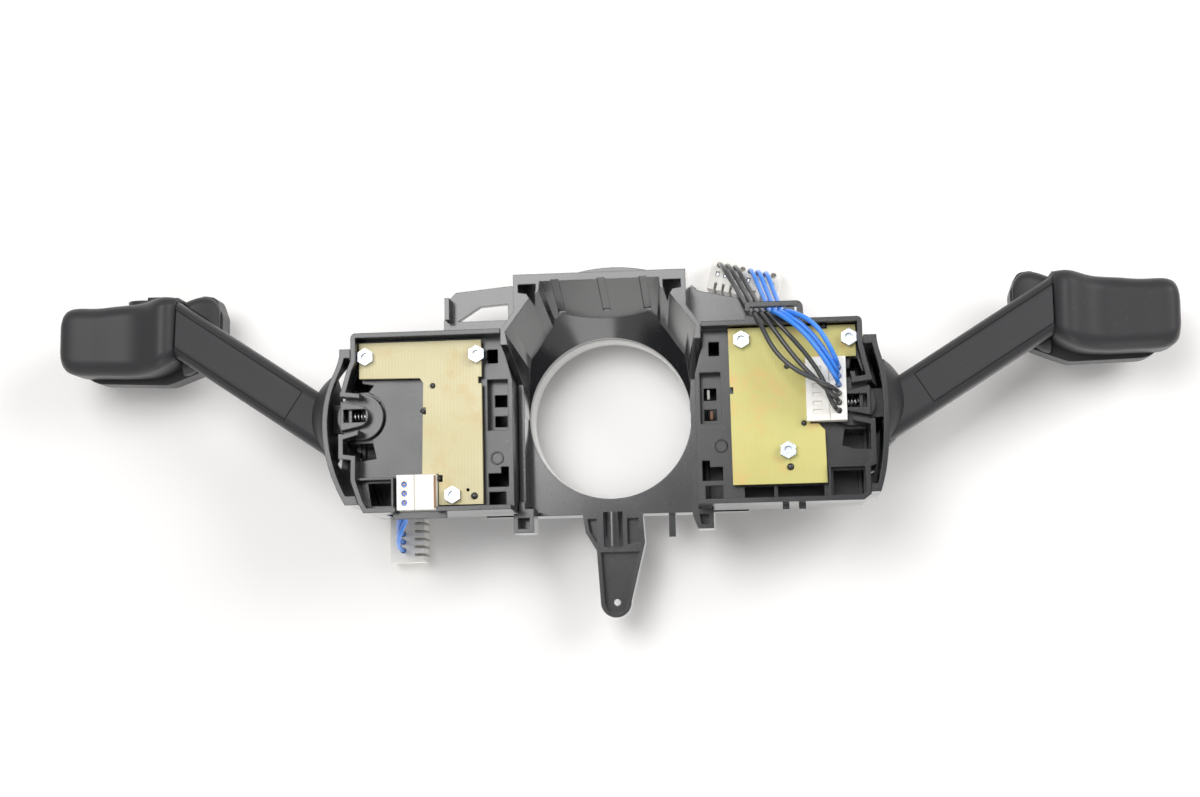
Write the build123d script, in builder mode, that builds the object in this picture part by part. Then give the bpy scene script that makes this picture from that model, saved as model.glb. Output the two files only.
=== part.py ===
from build123d import *
import math
import os

os.makedirs("parts", exist_ok=True)

# The switch lies on its driver side. Z runs along the steering column towards the dash, Y is up
# in the car and X is to the right as seen from the dash. The origin is on the column's axis, on
# the dash side of the bore plate. All sizes are millimetres. Most pieces come in mirrored pairs:
# their outlines give the distance outward from the column's axis and the height, and side is
# -1 for the left and 1 for the right.

LEFT = -1
RIGHT = 1
SIDE_NAMES = {LEFT: "left", RIGHT: "right"}

# Clearances
running_gap = 0.05
seat_gap = 0.15
moving_gap = 0.3

# Levels along the column
rim_z = 30.0
stand_z = -20.0
front_plate_thickness = 3.0
bore_plate_thickness = 3.0
cover_thickness = 1.8
floor_thickness = 1.6
board_thickness = 1.6
board_top_z = 26.0
board_boss_height = 2.0
gate_z = 23.5

# Column bore, collar and cancelling ring
bore_radius = 24.3
ring_inner_radius = 24.6
ring_outer_radius = 27.85
ring_height = 6.0
nub_radius = 0.9
nub_count = 8
collar_wall = 1.8
spigot_wall = 1.1
plate_radius = 49.0
plate_low_y = -28.0
plate_high_y = 50.0
plate_corner_x = 26.0
plate_corner_y = 22.0
plate_screw_radius = 1.4
plate_screw_length = 10.0
plate_head_radius = 2.8
plate_head_height = 1.8
plate_boss_radius = 3.2
plate_boss_angles = (36.0, 144.0, 216.0, 324.0)

# Funnel
funnel_bottom = -26.0
side_half = 26.4
side_wall = 1.8
side_top_z = 11.0
flank_low_y = 9.5
flank_mid_y = 19.0
flank_high_y = 23.4
flank_half = 28.9
box_half = 25.0
box_low_y = 28.6
box_high_y = 39.3
throat_half = 17.3
throat_high_y = 37.1
throat_foot_half = 12.5
throat_foot_y = 28.0
skirt_y = -29.0
skirt_wall = 1.6
skirt_depth = 12.0
pocket_floor_z = 10.0
groove_depth = 0.4
groove_spans = ((-14.0, -11.8), (-0.6, 1.7), (11.6, 13.8))
rail_low_z = 4.0
rail_height = 2.0
rail_proud = 1.5

# Wings, hooks and tongue
wing_low_z = 1.5
wing_thickness = 2.5
wing_rib_height = 6.0
hook_low_z = 4.0
hook_high_z = 14.0
hook_wall = 1.3
tongue_depth = 6.0
tongue_floor = 1.6
tongue_wall = 1.2
tongue_end_radius = 4.6
tongue_end = (0.5, -55.1)
tongue_hole_radius = 1.0
tongue_ridge_radius = 3.5
tongue_ridge_end_y = -38.6

# Trays
tray_inner = 26.6
tray_top_y = 23.8
tray_bottom_y = -28.6
tray_wall = 1.4
tray_corner_radius = 1.5
gate_half = 5.5
window_half = 8.8
window_start = 72.5
window_low_z = 3.6
boss_radius = 2.7
board_screw_radius = 1.1
board_screw_length = 7.0
screw_hex = 4.4
screw_head_height = 2.0
screw_socket_radius = 1.1
screw_socket_depth = 1.2
well_floor_z = 16.0
well_floor_thickness = 1.2
pocket_wall = 0.7
pocket_top_y = -18.2
pocket_wall_high = 1.0
floor_mark_radius = 1.9
floor_mark_width = 0.35
floor_mark_height = 0.3
clip_low_z = 20.0
clip_height = 4.0
loop_thickness = 2.5
loop_corner_radius = 2.0
cover_lip_height = 1.5
cover_lip_width = 1.2

# Pivot, carrier and its mechanism
pivot_out = 71.5
pivot_z = 15.0
pivot_pin_radius = 2.0
hinge_pin_radius = 1.5
carrier_low_z = 4.0
carrier_base = 4.0
cheek_inner = 4.6
cheek_outer = 7.6
cheek_top_z = 20.3
carrier_back = 63.5
carrier_back_wall = 2.5
carrier_end = 75.5
yoke_start = 70.6
yoke_start_half = 3.0
yoke_end_half = 4.3
yoke_slot_start = 69.2
yoke_slot_end = 75.7
yoke_slot_half = 1.9
yoke_bar_start = 73.6
yoke_bar_end = 74.6
yoke_bar_half = 2.4
yoke_bar_height = 4.2
neck_radius = 6.8
neck_low_z = 19.8
neck_high_z = 23.4
nose_radius = 3.1
nose_top_z = 27.0
nose_end = 76.6
finger_tip = 56.4
finger_half = 1.2
finger_low_z = 15.0
finger_height = 3.0
barrel_start = 60.0
barrel_half = 3.3
barrel_z = 10.0
plunger_radius = 1.8
plunger_tip = 57.5
plunger_tail = 62.3
detent_spring_start = 63.2
detent_spring_end = 65.3
detent_coil_radius = 1.2
return_spring_start = 69.25
return_spring_end = 73.55
return_spring_z = 22.6
return_coil_radius = 1.4
spring_wire = 0.45
track_half = 7.0
track_top_z = 12.3
slider_inner = 50.0
slider_outer = 58.0
slider_half = 9.0
slider_low_z = 14.0
slot_half = 1.65
guide_width = 1.1
guide_half = 11.0
guide_lip = 1.1

# Lever
boss_hinge_radius = 4.4
shank_half = 4.2
shank_low_z = 11.0
shank_high_z = 19.0
cuff_radius = 16.2
cuff_back = 80.8
cuff_gap = 0.5
bezel_wall = 1.5
bezel_deck = 2.0
arm_width = 14.5
arm_height = 13.0
arm_edge_radius = 3.4
arm_plan_angle = 33.0
arm_drop_angle = 8.4
arm_out = 86.0
arm_start = -12.0
arm_length = 84.0
panel_width = 10.0
panel_depth = 1.0
panel_start = 6.5
panel_end = 64.0
seam_out = 130.6
head_front_z = -11.0
head_edge_radius = 3.0
rest_turn = -0.8
dial_radius = 5.6
dial_out = 144.0
dial_z = -2.0
dial_seat_y = 36.6
dial_height = 2.5
dial_tab_height = 1.6
dial_stub_radius = 1.5
dial_stub_length = 3.4

# Connectors, plugs and wires
connector_top_z = 29.0
wire_radius = 0.7
wire_hole_radius = 0.85
plug_height = 9.0
plug_hole_depth = 3.0
plug_window_depth = 0.8
seam_width = 0.3
seam_depth = 0.4
cell_out = 61.6
cell_size = (2.6, 1.1)

# Worked out from the sizes above
plate_face_z = stand_z + front_plate_thickness
collar_inner = ring_outer_radius + running_gap
collar_outer = collar_inner + collar_wall
ring_top_z = -bore_plate_thickness - moving_gap
ring_low_z = ring_top_z - ring_height
spigot_outer = collar_inner - seat_gap
spigot_top_z = ring_low_z - moving_gap
plate_boss_circle = collar_inner + plate_boss_radius + seat_gap
cover_low_z = 0.2
tray_low_z = cover_low_z + cover_thickness
board_low_z = board_top_z - board_thickness
floor_top_z = board_low_z - board_boss_height
floor_low_z = floor_top_z - floor_thickness
tray_inside = tray_inner + tray_wall

# Outlines, as distance outward and height, or as X and Y for the pieces that are not mirrored
FUNNEL_OUTLINE = [
    (side_half, funnel_bottom), (side_half, flank_low_y), (flank_half, flank_mid_y),
    (flank_half, flank_high_y), (box_half, box_low_y), (box_half, box_high_y),
]
THROAT_RIM = [
    (side_half - side_wall, funnel_bottom - 1), (side_half - side_wall, flank_low_y - 1.5),
    (flank_half - 1.3, flank_high_y - 0.8), (throat_half + 3, throat_high_y - 4.7),
    (throat_half + 0.3, throat_high_y - 2.9), (throat_half, throat_high_y),
]
THROAT_FOOT = [
    (bore_radius + 0.1, funnel_bottom - 1), (bore_radius + 0.1, flank_low_y - 1.5),
    (bore_radius - 1.8, flank_mid_y - 2.5), (throat_foot_half + 3.5, throat_foot_y - 3.5),
    (throat_foot_half + 1.5, throat_foot_y - 1.5), (throat_foot_half, throat_foot_y),
]
CORNER_POCKET = [
    (23.6, 36.4), (18.4, 36.4), (18.4, 34.6), (19.4, 31.0), (21.2, 33.6), (23.6, 34.0),
]
LEFT_WING = [
    (-24.5, 24.1), (-24.5, 38.9), (-28.9, 40.6), (-45.8, 39.1), (-48.4, 36.6), (-49.6, 30.3),
    (-49.6, 24.1),
]
LEFT_WING_WINDOW = [(-45.3, 30.2), (-38.5, 34.5), (-30.0, 35.1), (-30.0, 30.2)]
LEFT_WING_RIB = [(-48.4, 30.0), (-47.0, 30.0), (-47.0, 36.6), (-48.4, 36.6)]
RIGHT_WING = [(24.5, 38.7), (28.0, 37.0), (41.7, 34.0), (56.0, 31.5), (56.0, 24.1), (24.5, 24.1)]
LEFT_HOOK = [
    (-26.4, -25.5), (-26.4, -28.9), (-28.0, -28.9), (-28.0, -34.7), (-22.0, -34.7),
    (-22.0, -27.6), (-24.6, -27.6), (-24.6, -25.5),
]
LEFT_HOOK_SLOT = [(-26.7, -30.2), (-26.7, -33.4), (-23.3, -33.4), (-23.3, -30.2)]
RIGHT_HOOK = [
    (24.6, -25.5), (24.6, -30.6), (26.1, -34.7), (30.7, -34.7), (30.7, -28.9), (26.4, -28.9),
    (26.4, -25.5),
]
RIGHT_HOOK_SLOT = [(26.6, -30.3), (27.2, -33.4), (29.4, -33.4), (29.4, -30.3)]
TONGUE = [
    (-9.0, -27.5), (-9.0, -29.0), (-8.2, -34.3), (-5.0, -39.7), (-4.1, -55.0), (5.1, -55.0),
    (9.5, -37.5), (8.9, -29.0), (8.9, -27.5),
]
TONGUE_HOLLOW = [(-3.8, -40.2), (-2.9, -55.0), (3.9, -55.0), (7.7, -40.2)]
TONGUE_GUSSETS = [
    [(-7.6, -30.2), (-7.0, -34.0), (-4.9, -37.6), (-4.9, -30.2)],
    [(4.3, -30.2), (4.3, -38.0), (8.1, -37.4), (7.7, -30.2)],
]
BRACKET_POST = [(16.6, -28.0), (16.6, -36.0), (18.6, -36.0), (18.6, -28.0)]

TRAY_OUTER_SIDE = {
    LEFT: [
        (69.5, tray_bottom_y), (71.1, -25.6), (73.2, -19.2), (73.1, -13.2), (76.7, -12.7),
        (76.7, -6.0), (76.2, 5.4), (74.1, 13.0), (72.9, 15.8), (72.9, tray_top_y),
    ],
    RIGHT: [
        (73.8, tray_bottom_y), (75.9, -27.0), (75.8, -19.3), (77.7, -18.5), (77.7, -6.0),
        (77.2, 5.4), (75.6, 12.6), (74.9, 15.8), (74.9, tray_top_y),
    ],
}
TRAY_INNER_SIDE = [
    (29.1, tray_top_y), (29.1, flank_mid_y), (tray_inner, flank_low_y), (tray_inner, tray_bottom_y),
]
TRAY_MOUTH = [
    (tray_inner - 2, tray_bottom_y + tray_wall), (tray_inside + 4, tray_bottom_y + tray_wall),
    (tray_inside + 4, tray_top_y - tray_wall), (tray_inner - 2, tray_top_y - tray_wall),
]
GATES = {
    LEFT: [
        [(76.2, 5.4), (70.4, 4.8), (70.4, 6.1), (76.0, 6.8)],
        [(76.7, -6.0), (70.7, -4.5), (70.9, -5.9), (76.5, -7.4)],
    ],
    RIGHT: [
        [(77.2, 5.5), (71.4, 4.8), (71.4, 6.1), (71.0, 8.0), (72.4, 8.0), (72.6, 6.5), (77.0, 7.0)],
        [(77.7, -6.0), (71.4, -4.6), (71.6, -6.0), (77.5, -7.4)],
    ],
}
OUTER_FLOOR_HOLES = {
    LEFT: [
        [(72.2, 13.6), (71.0, 13.6), (71.0, 9.9), (67.6, 9.3), (70.5, 5.5), (74.6, 6.7)],
        [(75.2, -5.5), (68.7, -4.4), (67.0, -12.3), (71.6, -13.0), (73.3, -11.5), (75.2, -11.2)],
        [(69.5, -19.6), (62.6, -19.6), (62.6, -26.2), (68.6, -26.2)],
    ],
    RIGHT: [
        [(73.4, 12.6), (71.6, 12.6), (71.0, 9.9), (68.6, 9.3), (71.0, 5.5), (75.4, 6.7)],
        [(76.1, -5.5), (69.7, -4.4), (68.4, -12.3), (72.0, -13.4), (76.1, -13.6)],
        [(74.2, -19.6), (65.5, -19.6), (65.5, -26.4), (74.2, -26.4)],
        [(49.6, -26.6), (62.8, -26.6), (62.8, -23.6), (49.6, -23.6)],
        [(40.1, -26.6), (48.5, -26.6), (48.5, -23.6), (40.1, -23.6)],
    ],
}
FLOOR_HOLES = [
    [(30.8, 14.7), (33.8, 14.7), (33.8, 18.7), (30.8, 18.7)],
    [(28.1, -21.5), (34.0, -21.5), (34.0, -17.6), (30.3, -17.6), (30.3, -15.7), (28.1, -15.7)],
    [(28.9, -27.1), (33.9, -27.1), (33.9, -23.0), (28.9, -23.0)],
]
LATCH_WELL = [(28.0, -5.0), (34.0, -5.0), (34.0, 9.9), (28.0, 9.9)]
LATCH_WELL_WALL = [(27.1, -6.0), (35.0, -6.0), (35.0, 10.9), (27.1, 10.9)]
LATCH_WINDOWS = [
    [(28.9, 2.3), (32.5, 2.3), (32.5, 5.8), (28.9, 5.8)],
    [(28.9, -3.6), (32.5, -3.6), (32.5, -0.4), (28.9, -0.4)],
]
POCKET_SPANS = {LEFT: (61.2, 72.6), RIGHT: (64.1, 75.2)}
FLOOR_MARKS = {LEFT: (31.4, -13.1), RIGHT: (33.6, -11.5)}
BOTTOM_CLIPS = [
    [(50.8, -28.0), (52.7, -28.0), (52.7, -30.4), (50.8, -30.4)],
    [(55.4, -28.0), (57.4, -28.0), (57.4, -30.4), (55.4, -30.4)],
]
WIRE_LOOP = [(41.8, 23.5), (58.3, 23.5), (58.3, 28.9), (41.8, 28.9)]
WIRE_LOOP_SLOT = [(43.2, 24.7), (56.5, 24.7), (56.5, 27.4), (43.2, 27.4)]
WIRE_LOOP_MOUTH = [(41.0, 24.9), (43.6, 24.9), (43.6, 26.3), (41.0, 26.3)]
CONNECTOR_NOTCH = [(48.1, -29.0), (60.2, -29.0), (60.2, -26.0), (48.1, -26.0)]
WIRE_OPENING = [(50.6, -30.0), (64.8, -30.0), (64.8, -27.0), (50.6, -27.0)]
WIRE_FLOOR_HOLE = [(50.8, -27.5), (59.8, -27.5), (59.8, -18.9), (50.8, -18.9)]
TRAY_LEDGE = [(45.9, -30.4), (61.6, -30.4), (61.6, -28.2), (45.9, -28.2)]
TRACK_BLOCK = [(53.5, -track_half), (59.5, -track_half), (59.5, track_half), (53.5, track_half)]

BOARDS = {
    LEFT: [
        (71.2, 21.3), (35.2, 21.3), (35.2, -26.6), (48.1, -26.6), (48.1, -17.5), (52.9, -17.5),
        (52.3, 9.2), (53.4, 10.6), (71.2, 10.9),
    ],
    RIGHT: [
        (36.6, 22.0), (73.0, 22.0), (73.0, 12.9), (59.4, 12.9), (59.4, -6.2), (61.7, -6.2),
        (63.5, -8.1), (63.8, -23.2), (36.9, -23.2),
    ],
}
BOARD_SCREWS = {
    LEFT: [(69.1, 17.1), (36.4, 16.9), (43.9, -23.8)],
    RIGHT: [(71.1, 18.2), (40.4, 18.5), (52.9, -13.7)],
}
BOARD_HOLES = {
    LEFT: [(49.5, 8.2, 0.8), (37.7, -24.2, 1.0), (39.6, -22.4, 0.5)],
    RIGHT: [(53.4, -18.4, 1.0), (57.6, -6.0, 0.8), (53.2, 10.5, 0.8)],
}
BOARD_NOTCHES = {
    LEFT: [(35.2, 9.5), (52.6, 0.9), (47.9, -18.9)],
    RIGHT: [(64.0, 22.0), (36.7, 4.0)],
}

CONNECTORS = {
    LEFT: [(48.4, -28.0), (59.9, -28.0), (59.9, -17.8), (48.4, -17.8)],
    RIGHT: [(59.7, -5.7), (69.9, -5.7), (69.9, 12.6), (59.7, 12.6)],
}
RIGHT_CONNECTOR_FOOT = [(59.7, -5.7), (63.6, -5.7), (63.6, 12.6), (59.7, 12.6)]
RIGHT_CONNECTOR_LIP = [(58.4, -5.7), (60.0, -5.7), (60.0, 12.6), (58.4, 12.6)]
CONNECTOR_SEAMS = {LEFT: 54.7, RIGHT: 65.1}
WIRE_HOLES = {
    LEFT: [(57.7, -20.6), (57.7, -23.2), (57.7, -25.9)],
    RIGHT: [(67.7, 9.3), (67.7, 6.9), (67.7, 4.4), (67.7, 1.9), (67.7, -0.7), (67.7, -3.1)],
}
UPPER_PLUG_CENTRE = (41.2, 42.6)
UPPER_PLUG_SIZE = (21.5, 10.0)
UPPER_PLUG_TURN = -13.7
UPPER_PLUG_PITCH = 2.4
UPPER_PLUG_HOLE_ROW = 2.9
UPPER_PLUG_WINDOW = (1.3, 1.5)
UPPER_PLUG_SLIT = (0.8, 4.6)
PLUG_WAYS = 8
LOWER_PLUG_CENTRE = (-64.2, -33.0)
LOWER_PLUG_SIZE = (10.5, 16.5)
LOWER_PLUG_HOLES = [(-65.6, -32.6), (-65.6, -35.0), (-65.6, -37.6)]
LOWER_PLUG_SLIT = (6.0, 0.8)
LOWER_PLUG_SLITS = 6

# The right wires in the order of the connector's holes: name, plug hole counted from 0, where the
# wire comes down through the loop, and the plan of the bends before and after it
RIGHT_WIRES = [
    ("right_blue_wire_1", 6, 52.8, (61.5, 20.8), (50.2, 35.4)),
    ("right_blue_wire_2", 5, 51.1, (58.9, 19.3), (48.1, 35.6)),
    ("right_blue_wire_3", 4, 49.4, (56.6, 17.9), (46.2, 35.9)),
    ("right_black_wire_1", 2, 47.6, (54.5, 16.5), (42.8, 36.6)),
    ("right_black_wire_2", 1, 45.9, (51.8, 14.2), (40.8, 36.9)),
    ("right_black_wire_3", 0, 44.2, (49.4, 11.6), (38.8, 37.2)),
]
wire_peak_z = 38.5
wire_loop_y = 26.0
wire_loop_high_z = 34.0
wire_loop_low_z = 21.0
wire_fall_z = 5.0
wire_drop_z = -2.0
left_wire_high_z = 15.0
left_wire_low_z = 5.0

# Outer edge of the end bezels from the bottom up, with a tab at each end
BEZEL_EDGES = {
    LEFT: [
        (74.9, -26.2), (78.9, -17.5), (81.2, -7.0), (81.0, 2.5), (78.7, 10.5), (76.4, 16.4),
        (76.2, 19.2),
    ],
    RIGHT: [
        (78.6, -26.4), (80.6, -18.4), (81.5, -8.0), (81.5, 2.0), (80.4, 10.5), (79.0, 16.2),
        (78.8, 18.4),
    ],
}
BEZEL_TABS = {
    LEFT: [
        [(70.0, -26.2), (74.2, -26.2), (75.0, -23.6), (70.0, -23.6)],
        [(72.0, 16.6), (76.0, 16.6), (76.0, 19.2), (72.0, 19.2)],
    ],
    RIGHT: [
        [(74.0, -26.4), (78.2, -26.4), (78.8, -24.0), (74.0, -24.0)],
        [(74.0, 16.0), (78.6, 16.0), (78.6, 18.4), (74.0, 18.4)],
    ],
}

# Cross sections of the head's back shell: distance outward, lowest and highest Y, height above
# the parting plane, and corner radius
HEAD_BACK_SECTIONS = [
    (seam_out, 19.6, 38.9, 13.3, 3.5), (134.0, 17.4, 38.9, 15.5, 4.0),
    (138.0, 15.9, 38.4, 14.5, 4.5), (143.5, 15.3, 37.4, 12.4, 4.5),
    (151.0, 15.3, 36.8, 12.4, 4.5), (161.5, 15.7, 36.4, 12.9, 4.5),
    (165.3, 17.0, 35.6, 12.3, 4.3), (166.8, 18.8, 33.9, 10.8, 4.0),
    (167.3, 21.0, 31.6, 9.0, 3.6),
]
HEAD_NECK_SECTIONS = [
    (seam_out - seat_gap, 16.0, 38.6, 5.5, 3.4), (127.0, 17.4, 40.0, 5.0, 3.4),
    (122.8, 22.0, 40.0, 3.8, 2.8), (120.0, 27.6, 36.4, 2.4, 1.8),
]
HEAD_FRONT_PLAN = [
    (119.6, 27.5), (119.4, 34.5), (121.5, 40.3), (125.5, 40.9), (130.0, 38.9), (146.0, 37.2),
    (166.6, 36.5), (163.0, 14.3), (136.0, 13.4), (124.0, 18.0),
]
HEAD_FRONT_CORNERS = [6.0, 4.0, 2.5, 2.5, 4.0, 12.0, 6.0, 8.0, 8.0, 6.0]


def flat(side, points):
    """An outline seen along the column from distances outward and heights."""
    return [(side * out, y) for out, y in points]


def whole(points):
    """The right half of an outline together with its mirror image."""
    return points + [(-x, y) for x, y in reversed(points)]


def tray_outline(side):
    """The outer outline of a tray and of the cover under it."""
    return flat(side, TRAY_OUTER_SIDE[side] + TRAY_INNER_SIDE)


def tray_sketch(side):
    """The tray's outline as a face, with its upper outer corner rounded."""
    with BuildSketch() as outline:
        Polygon(*tray_outline(side))
        corner = Vector(side * TRAY_OUTER_SIDE[side][-1][0], tray_top_y, 0)
        fillet(outline.vertices().sort_by_distance(corner)[0], tray_corner_radius)
    return outline.sketch


def bezel_face(side, inner_edge):
    """The face between a bezel's outer edge and an inner edge, both given from the bottom up."""
    outer = flat(side, BEZEL_EDGES[side])
    inner = flat(side, inner_edge)
    with BuildSketch() as face:
        with BuildLine():
            Spline(*outer)
            Line(outer[-1], inner[-1])
            if len(inner) > 2:
                Spline(*inner)
            else:
                Line(*inner)
            Line(inner[0], outer[0])
        make_face()
    return face.sketch


def upper_plug_hole(number):
    """Where a hole of the upper plug is in X and Y, counted from its left end."""
    turn = math.radians(UPPER_PLUG_TURN)
    along = (number - (PLUG_WAYS - 1) / 2) * UPPER_PLUG_PITCH
    x = UPPER_PLUG_CENTRE[0] + along * math.cos(turn) - UPPER_PLUG_HOLE_ROW * math.sin(turn)
    y = UPPER_PLUG_CENTRE[1] + along * math.sin(turn) + UPPER_PLUG_HOLE_ROW * math.cos(turn)
    return (x, y)


def save(part, name):
    """Label a finished part and write its file."""
    part.label = name
    export_step(part, f"parts/{name}.step")


def save_turned(side, part, name):
    """Turn a lever piece about its pivot to where the lever rests, then save it."""
    axis = Axis((side * pivot_out, 0, 0), (0, 0, 1))
    save(part.rotate(axis, rest_turn), name)


def arm_plane(side, along=0.0):
    """The plane square to the arm, with its y towards the dash, at a length along the arm."""
    plan = math.radians(arm_plan_angle)
    drop = math.radians(arm_drop_angle)
    along_dir = Vector(
        side * math.cos(plan) * math.cos(drop), math.sin(plan) * math.cos(drop), -math.sin(drop)
    )
    across_dir = Vector(-math.sin(plan), side * math.cos(plan), 0)
    origin = Vector(side * arm_out, 0, pivot_z) + along_dir * along
    return Plane(origin=origin, x_dir=across_dir, z_dir=along_dir)


def side_plane(side, out):
    """The upright plane at a distance outward, facing outward."""
    return Plane(origin=(side * out, 0, 0), x_dir=(0, side, 0), z_dir=(side, 0, 0))


def make_bracket():
    """The moulded centre: bore plate, collar, faceted funnel, wings, hooks and tongue."""
    with BuildPart() as bowl:
        with BuildSketch(Plane.XY):
            Polygon(*whole(THROAT_FOOT))
        with BuildSketch(Plane.XY.offset(rim_z)):
            Polygon(*whole(THROAT_RIM))
        loft(ruled=True)
        Cone(
            bore_radius, bore_radius + rim_z, rim_z,
            align=(Align.CENTER, Align.CENTER, Align.MIN), mode=Mode.INTERSECT,
        )

    with BuildPart() as piece:
        with BuildSketch(Plane.XY.offset(-bore_plate_thickness)):
            Polygon(*whole(FUNNEL_OUTLINE))
        extrude(amount=bore_plate_thickness + rim_z)
        add(bowl.part, mode=Mode.SUBTRACT)

        # The lower half is a plain channel whose side walls are low
        with BuildSketch(Plane.XY):
            Polygon(*whole([(side_half - side_wall, funnel_bottom - 1), (side_half - side_wall, 0)]))
        extrude(amount=rim_z, mode=Mode.SUBTRACT)
        with BuildSketch(Plane.YZ.offset(-2 * side_half)):
            Polygon(
                (funnel_bottom - 5, side_top_z), (flank_low_y, side_top_z),
                (flank_mid_y, rim_z + 0.1), (funnel_bottom - 5, rim_z + 0.1),
            )
        extrude(amount=4 * side_half, mode=Mode.SUBTRACT)

        # Corner pockets beside the throat, and shallow grooves in its top wall
        for side in (LEFT, RIGHT):
            with BuildSketch(Plane.XY.offset(pocket_floor_z)):
                Polygon(*flat(side, CORNER_POCKET))
            extrude(amount=rim_z, mode=Mode.SUBTRACT)
        groove_slope = (throat_high_y - throat_foot_y) / rim_z
        groove_low_y = throat_foot_y + groove_slope * pocket_floor_z
        for start, end in groove_spans:
            with BuildSketch(Plane.YZ.offset(start)):
                Polygon(
                    (groove_low_y - 1, pocket_floor_z), (groove_low_y + groove_depth, pocket_floor_z),
                    (throat_high_y + groove_depth, rim_z), (throat_high_y - 1, rim_z),
                )
            extrude(amount=end - start, mode=Mode.SUBTRACT)

        # Bore plate and collar, with bosses for the front plate's screws
        with BuildSketch(Plane.XY.offset(plate_face_z)):
            Circle(collar_outer)
            for angle in plate_boss_angles:
                with PolarLocations(plate_boss_circle, 1, start_angle=angle):
                    Circle(plate_boss_radius)
            Circle(collar_inner, mode=Mode.SUBTRACT)
        extrude(amount=-plate_face_z)
        with BuildSketch(Plane.XY.offset(-bore_plate_thickness)):
            Circle(collar_outer)
        extrude(amount=bore_plate_thickness)
        with BuildSketch(Plane.XY.offset(-bore_plate_thickness)):
            Circle(bore_radius)
        extrude(amount=bore_plate_thickness, mode=Mode.SUBTRACT)
        with BuildSketch(Plane.XY.offset(plate_face_z)):
            for angle in plate_boss_angles:
                with PolarLocations(plate_boss_circle, 1, start_angle=angle):
                    Circle(plate_screw_radius)
        extrude(amount=plate_screw_length, mode=Mode.SUBTRACT)

        # Skirt along the bottom, and the rails that hold the trays
        with BuildSketch(Plane.XY.offset(-skirt_depth)):
            Polygon(*whole([(side_half, skirt_y), (side_half, skirt_y + skirt_wall)]))
            Circle(collar_inner, mode=Mode.SUBTRACT)
        extrude(amount=skirt_depth)
        with BuildSketch(Plane.XY.offset(-bore_plate_thickness)):
            Polygon(*whole([(side_half, skirt_y), (side_half, funnel_bottom + 1)]))
            Circle(collar_inner, mode=Mode.SUBTRACT)
        extrude(amount=bore_plate_thickness)
        for side in (LEFT, RIGHT):
            with BuildSketch(Plane.XY.offset(rail_low_z)):
                Polygon(*flat(side, [
                    (side_half - 1, funnel_bottom + 3), (side_half + rail_proud, funnel_bottom + 3),
                    (side_half + rail_proud, flank_low_y - 3), (side_half - 1, flank_low_y - 3),
                ]))
            extrude(amount=rail_height)

        # Wings
        with BuildSketch(Plane.XY.offset(wing_low_z)):
            Polygon(*LEFT_WING)
            Polygon(*LEFT_WING_WINDOW, mode=Mode.SUBTRACT)
            Polygon(*RIGHT_WING)
        extrude(amount=wing_thickness)
        with BuildSketch(Plane.XY.offset(wing_low_z)):
            Polygon(*LEFT_WING_RIB)
        extrude(amount=wing_thickness + wing_rib_height)

        # Hooks and the small post below the side walls
        with BuildSketch(Plane.XY.offset(hook_low_z)):
            Polygon(*LEFT_HOOK)
            Polygon(*RIGHT_HOOK)
        extrude(amount=hook_high_z - hook_low_z)
        with BuildSketch(Plane.XY.offset(hook_low_z + hook_wall)):
            Polygon(*LEFT_HOOK_SLOT)
            Polygon(*RIGHT_HOOK_SLOT)
        extrude(amount=hook_high_z, mode=Mode.SUBTRACT)
        with BuildSketch(Plane.XY.offset(-tongue_depth)):
            Polygon(*BRACKET_POST)
        extrude(amount=tongue_depth / 2)

        # Tongue with its channel, pockets, ridge and hole
        with BuildSketch(Plane.XY.offset(-tongue_depth)):
            Polygon(*TONGUE)
            with Locations(tongue_end):
                Circle(tongue_end_radius)
            Circle(collar_inner, mode=Mode.SUBTRACT)
        extrude(amount=tongue_depth)
        with BuildSketch(Plane.XY.offset(tongue_floor - tongue_depth)):
            Polygon(*TONGUE_HOLLOW)
            with Locations(tongue_end):
                Circle(tongue_end_radius - tongue_wall)
            for gusset in TONGUE_GUSSETS:
                Polygon(*gusset)
        extrude(amount=tongue_depth, mode=Mode.SUBTRACT)
        with BuildSketch(Plane.XZ.offset(collar_inner + moving_gap)):
            with Locations((0, -tongue_depth / 3)):
                Circle(tongue_ridge_radius)
        extrude(amount=-tongue_ridge_end_y - collar_inner - moving_gap)
        with BuildSketch(Plane.XY.offset(-tongue_depth)):
            with Locations(tongue_end):
                Circle(tongue_hole_radius)
        extrude(amount=tongue_depth, mode=Mode.SUBTRACT)
    save(piece.part, "collar_bracket")


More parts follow.
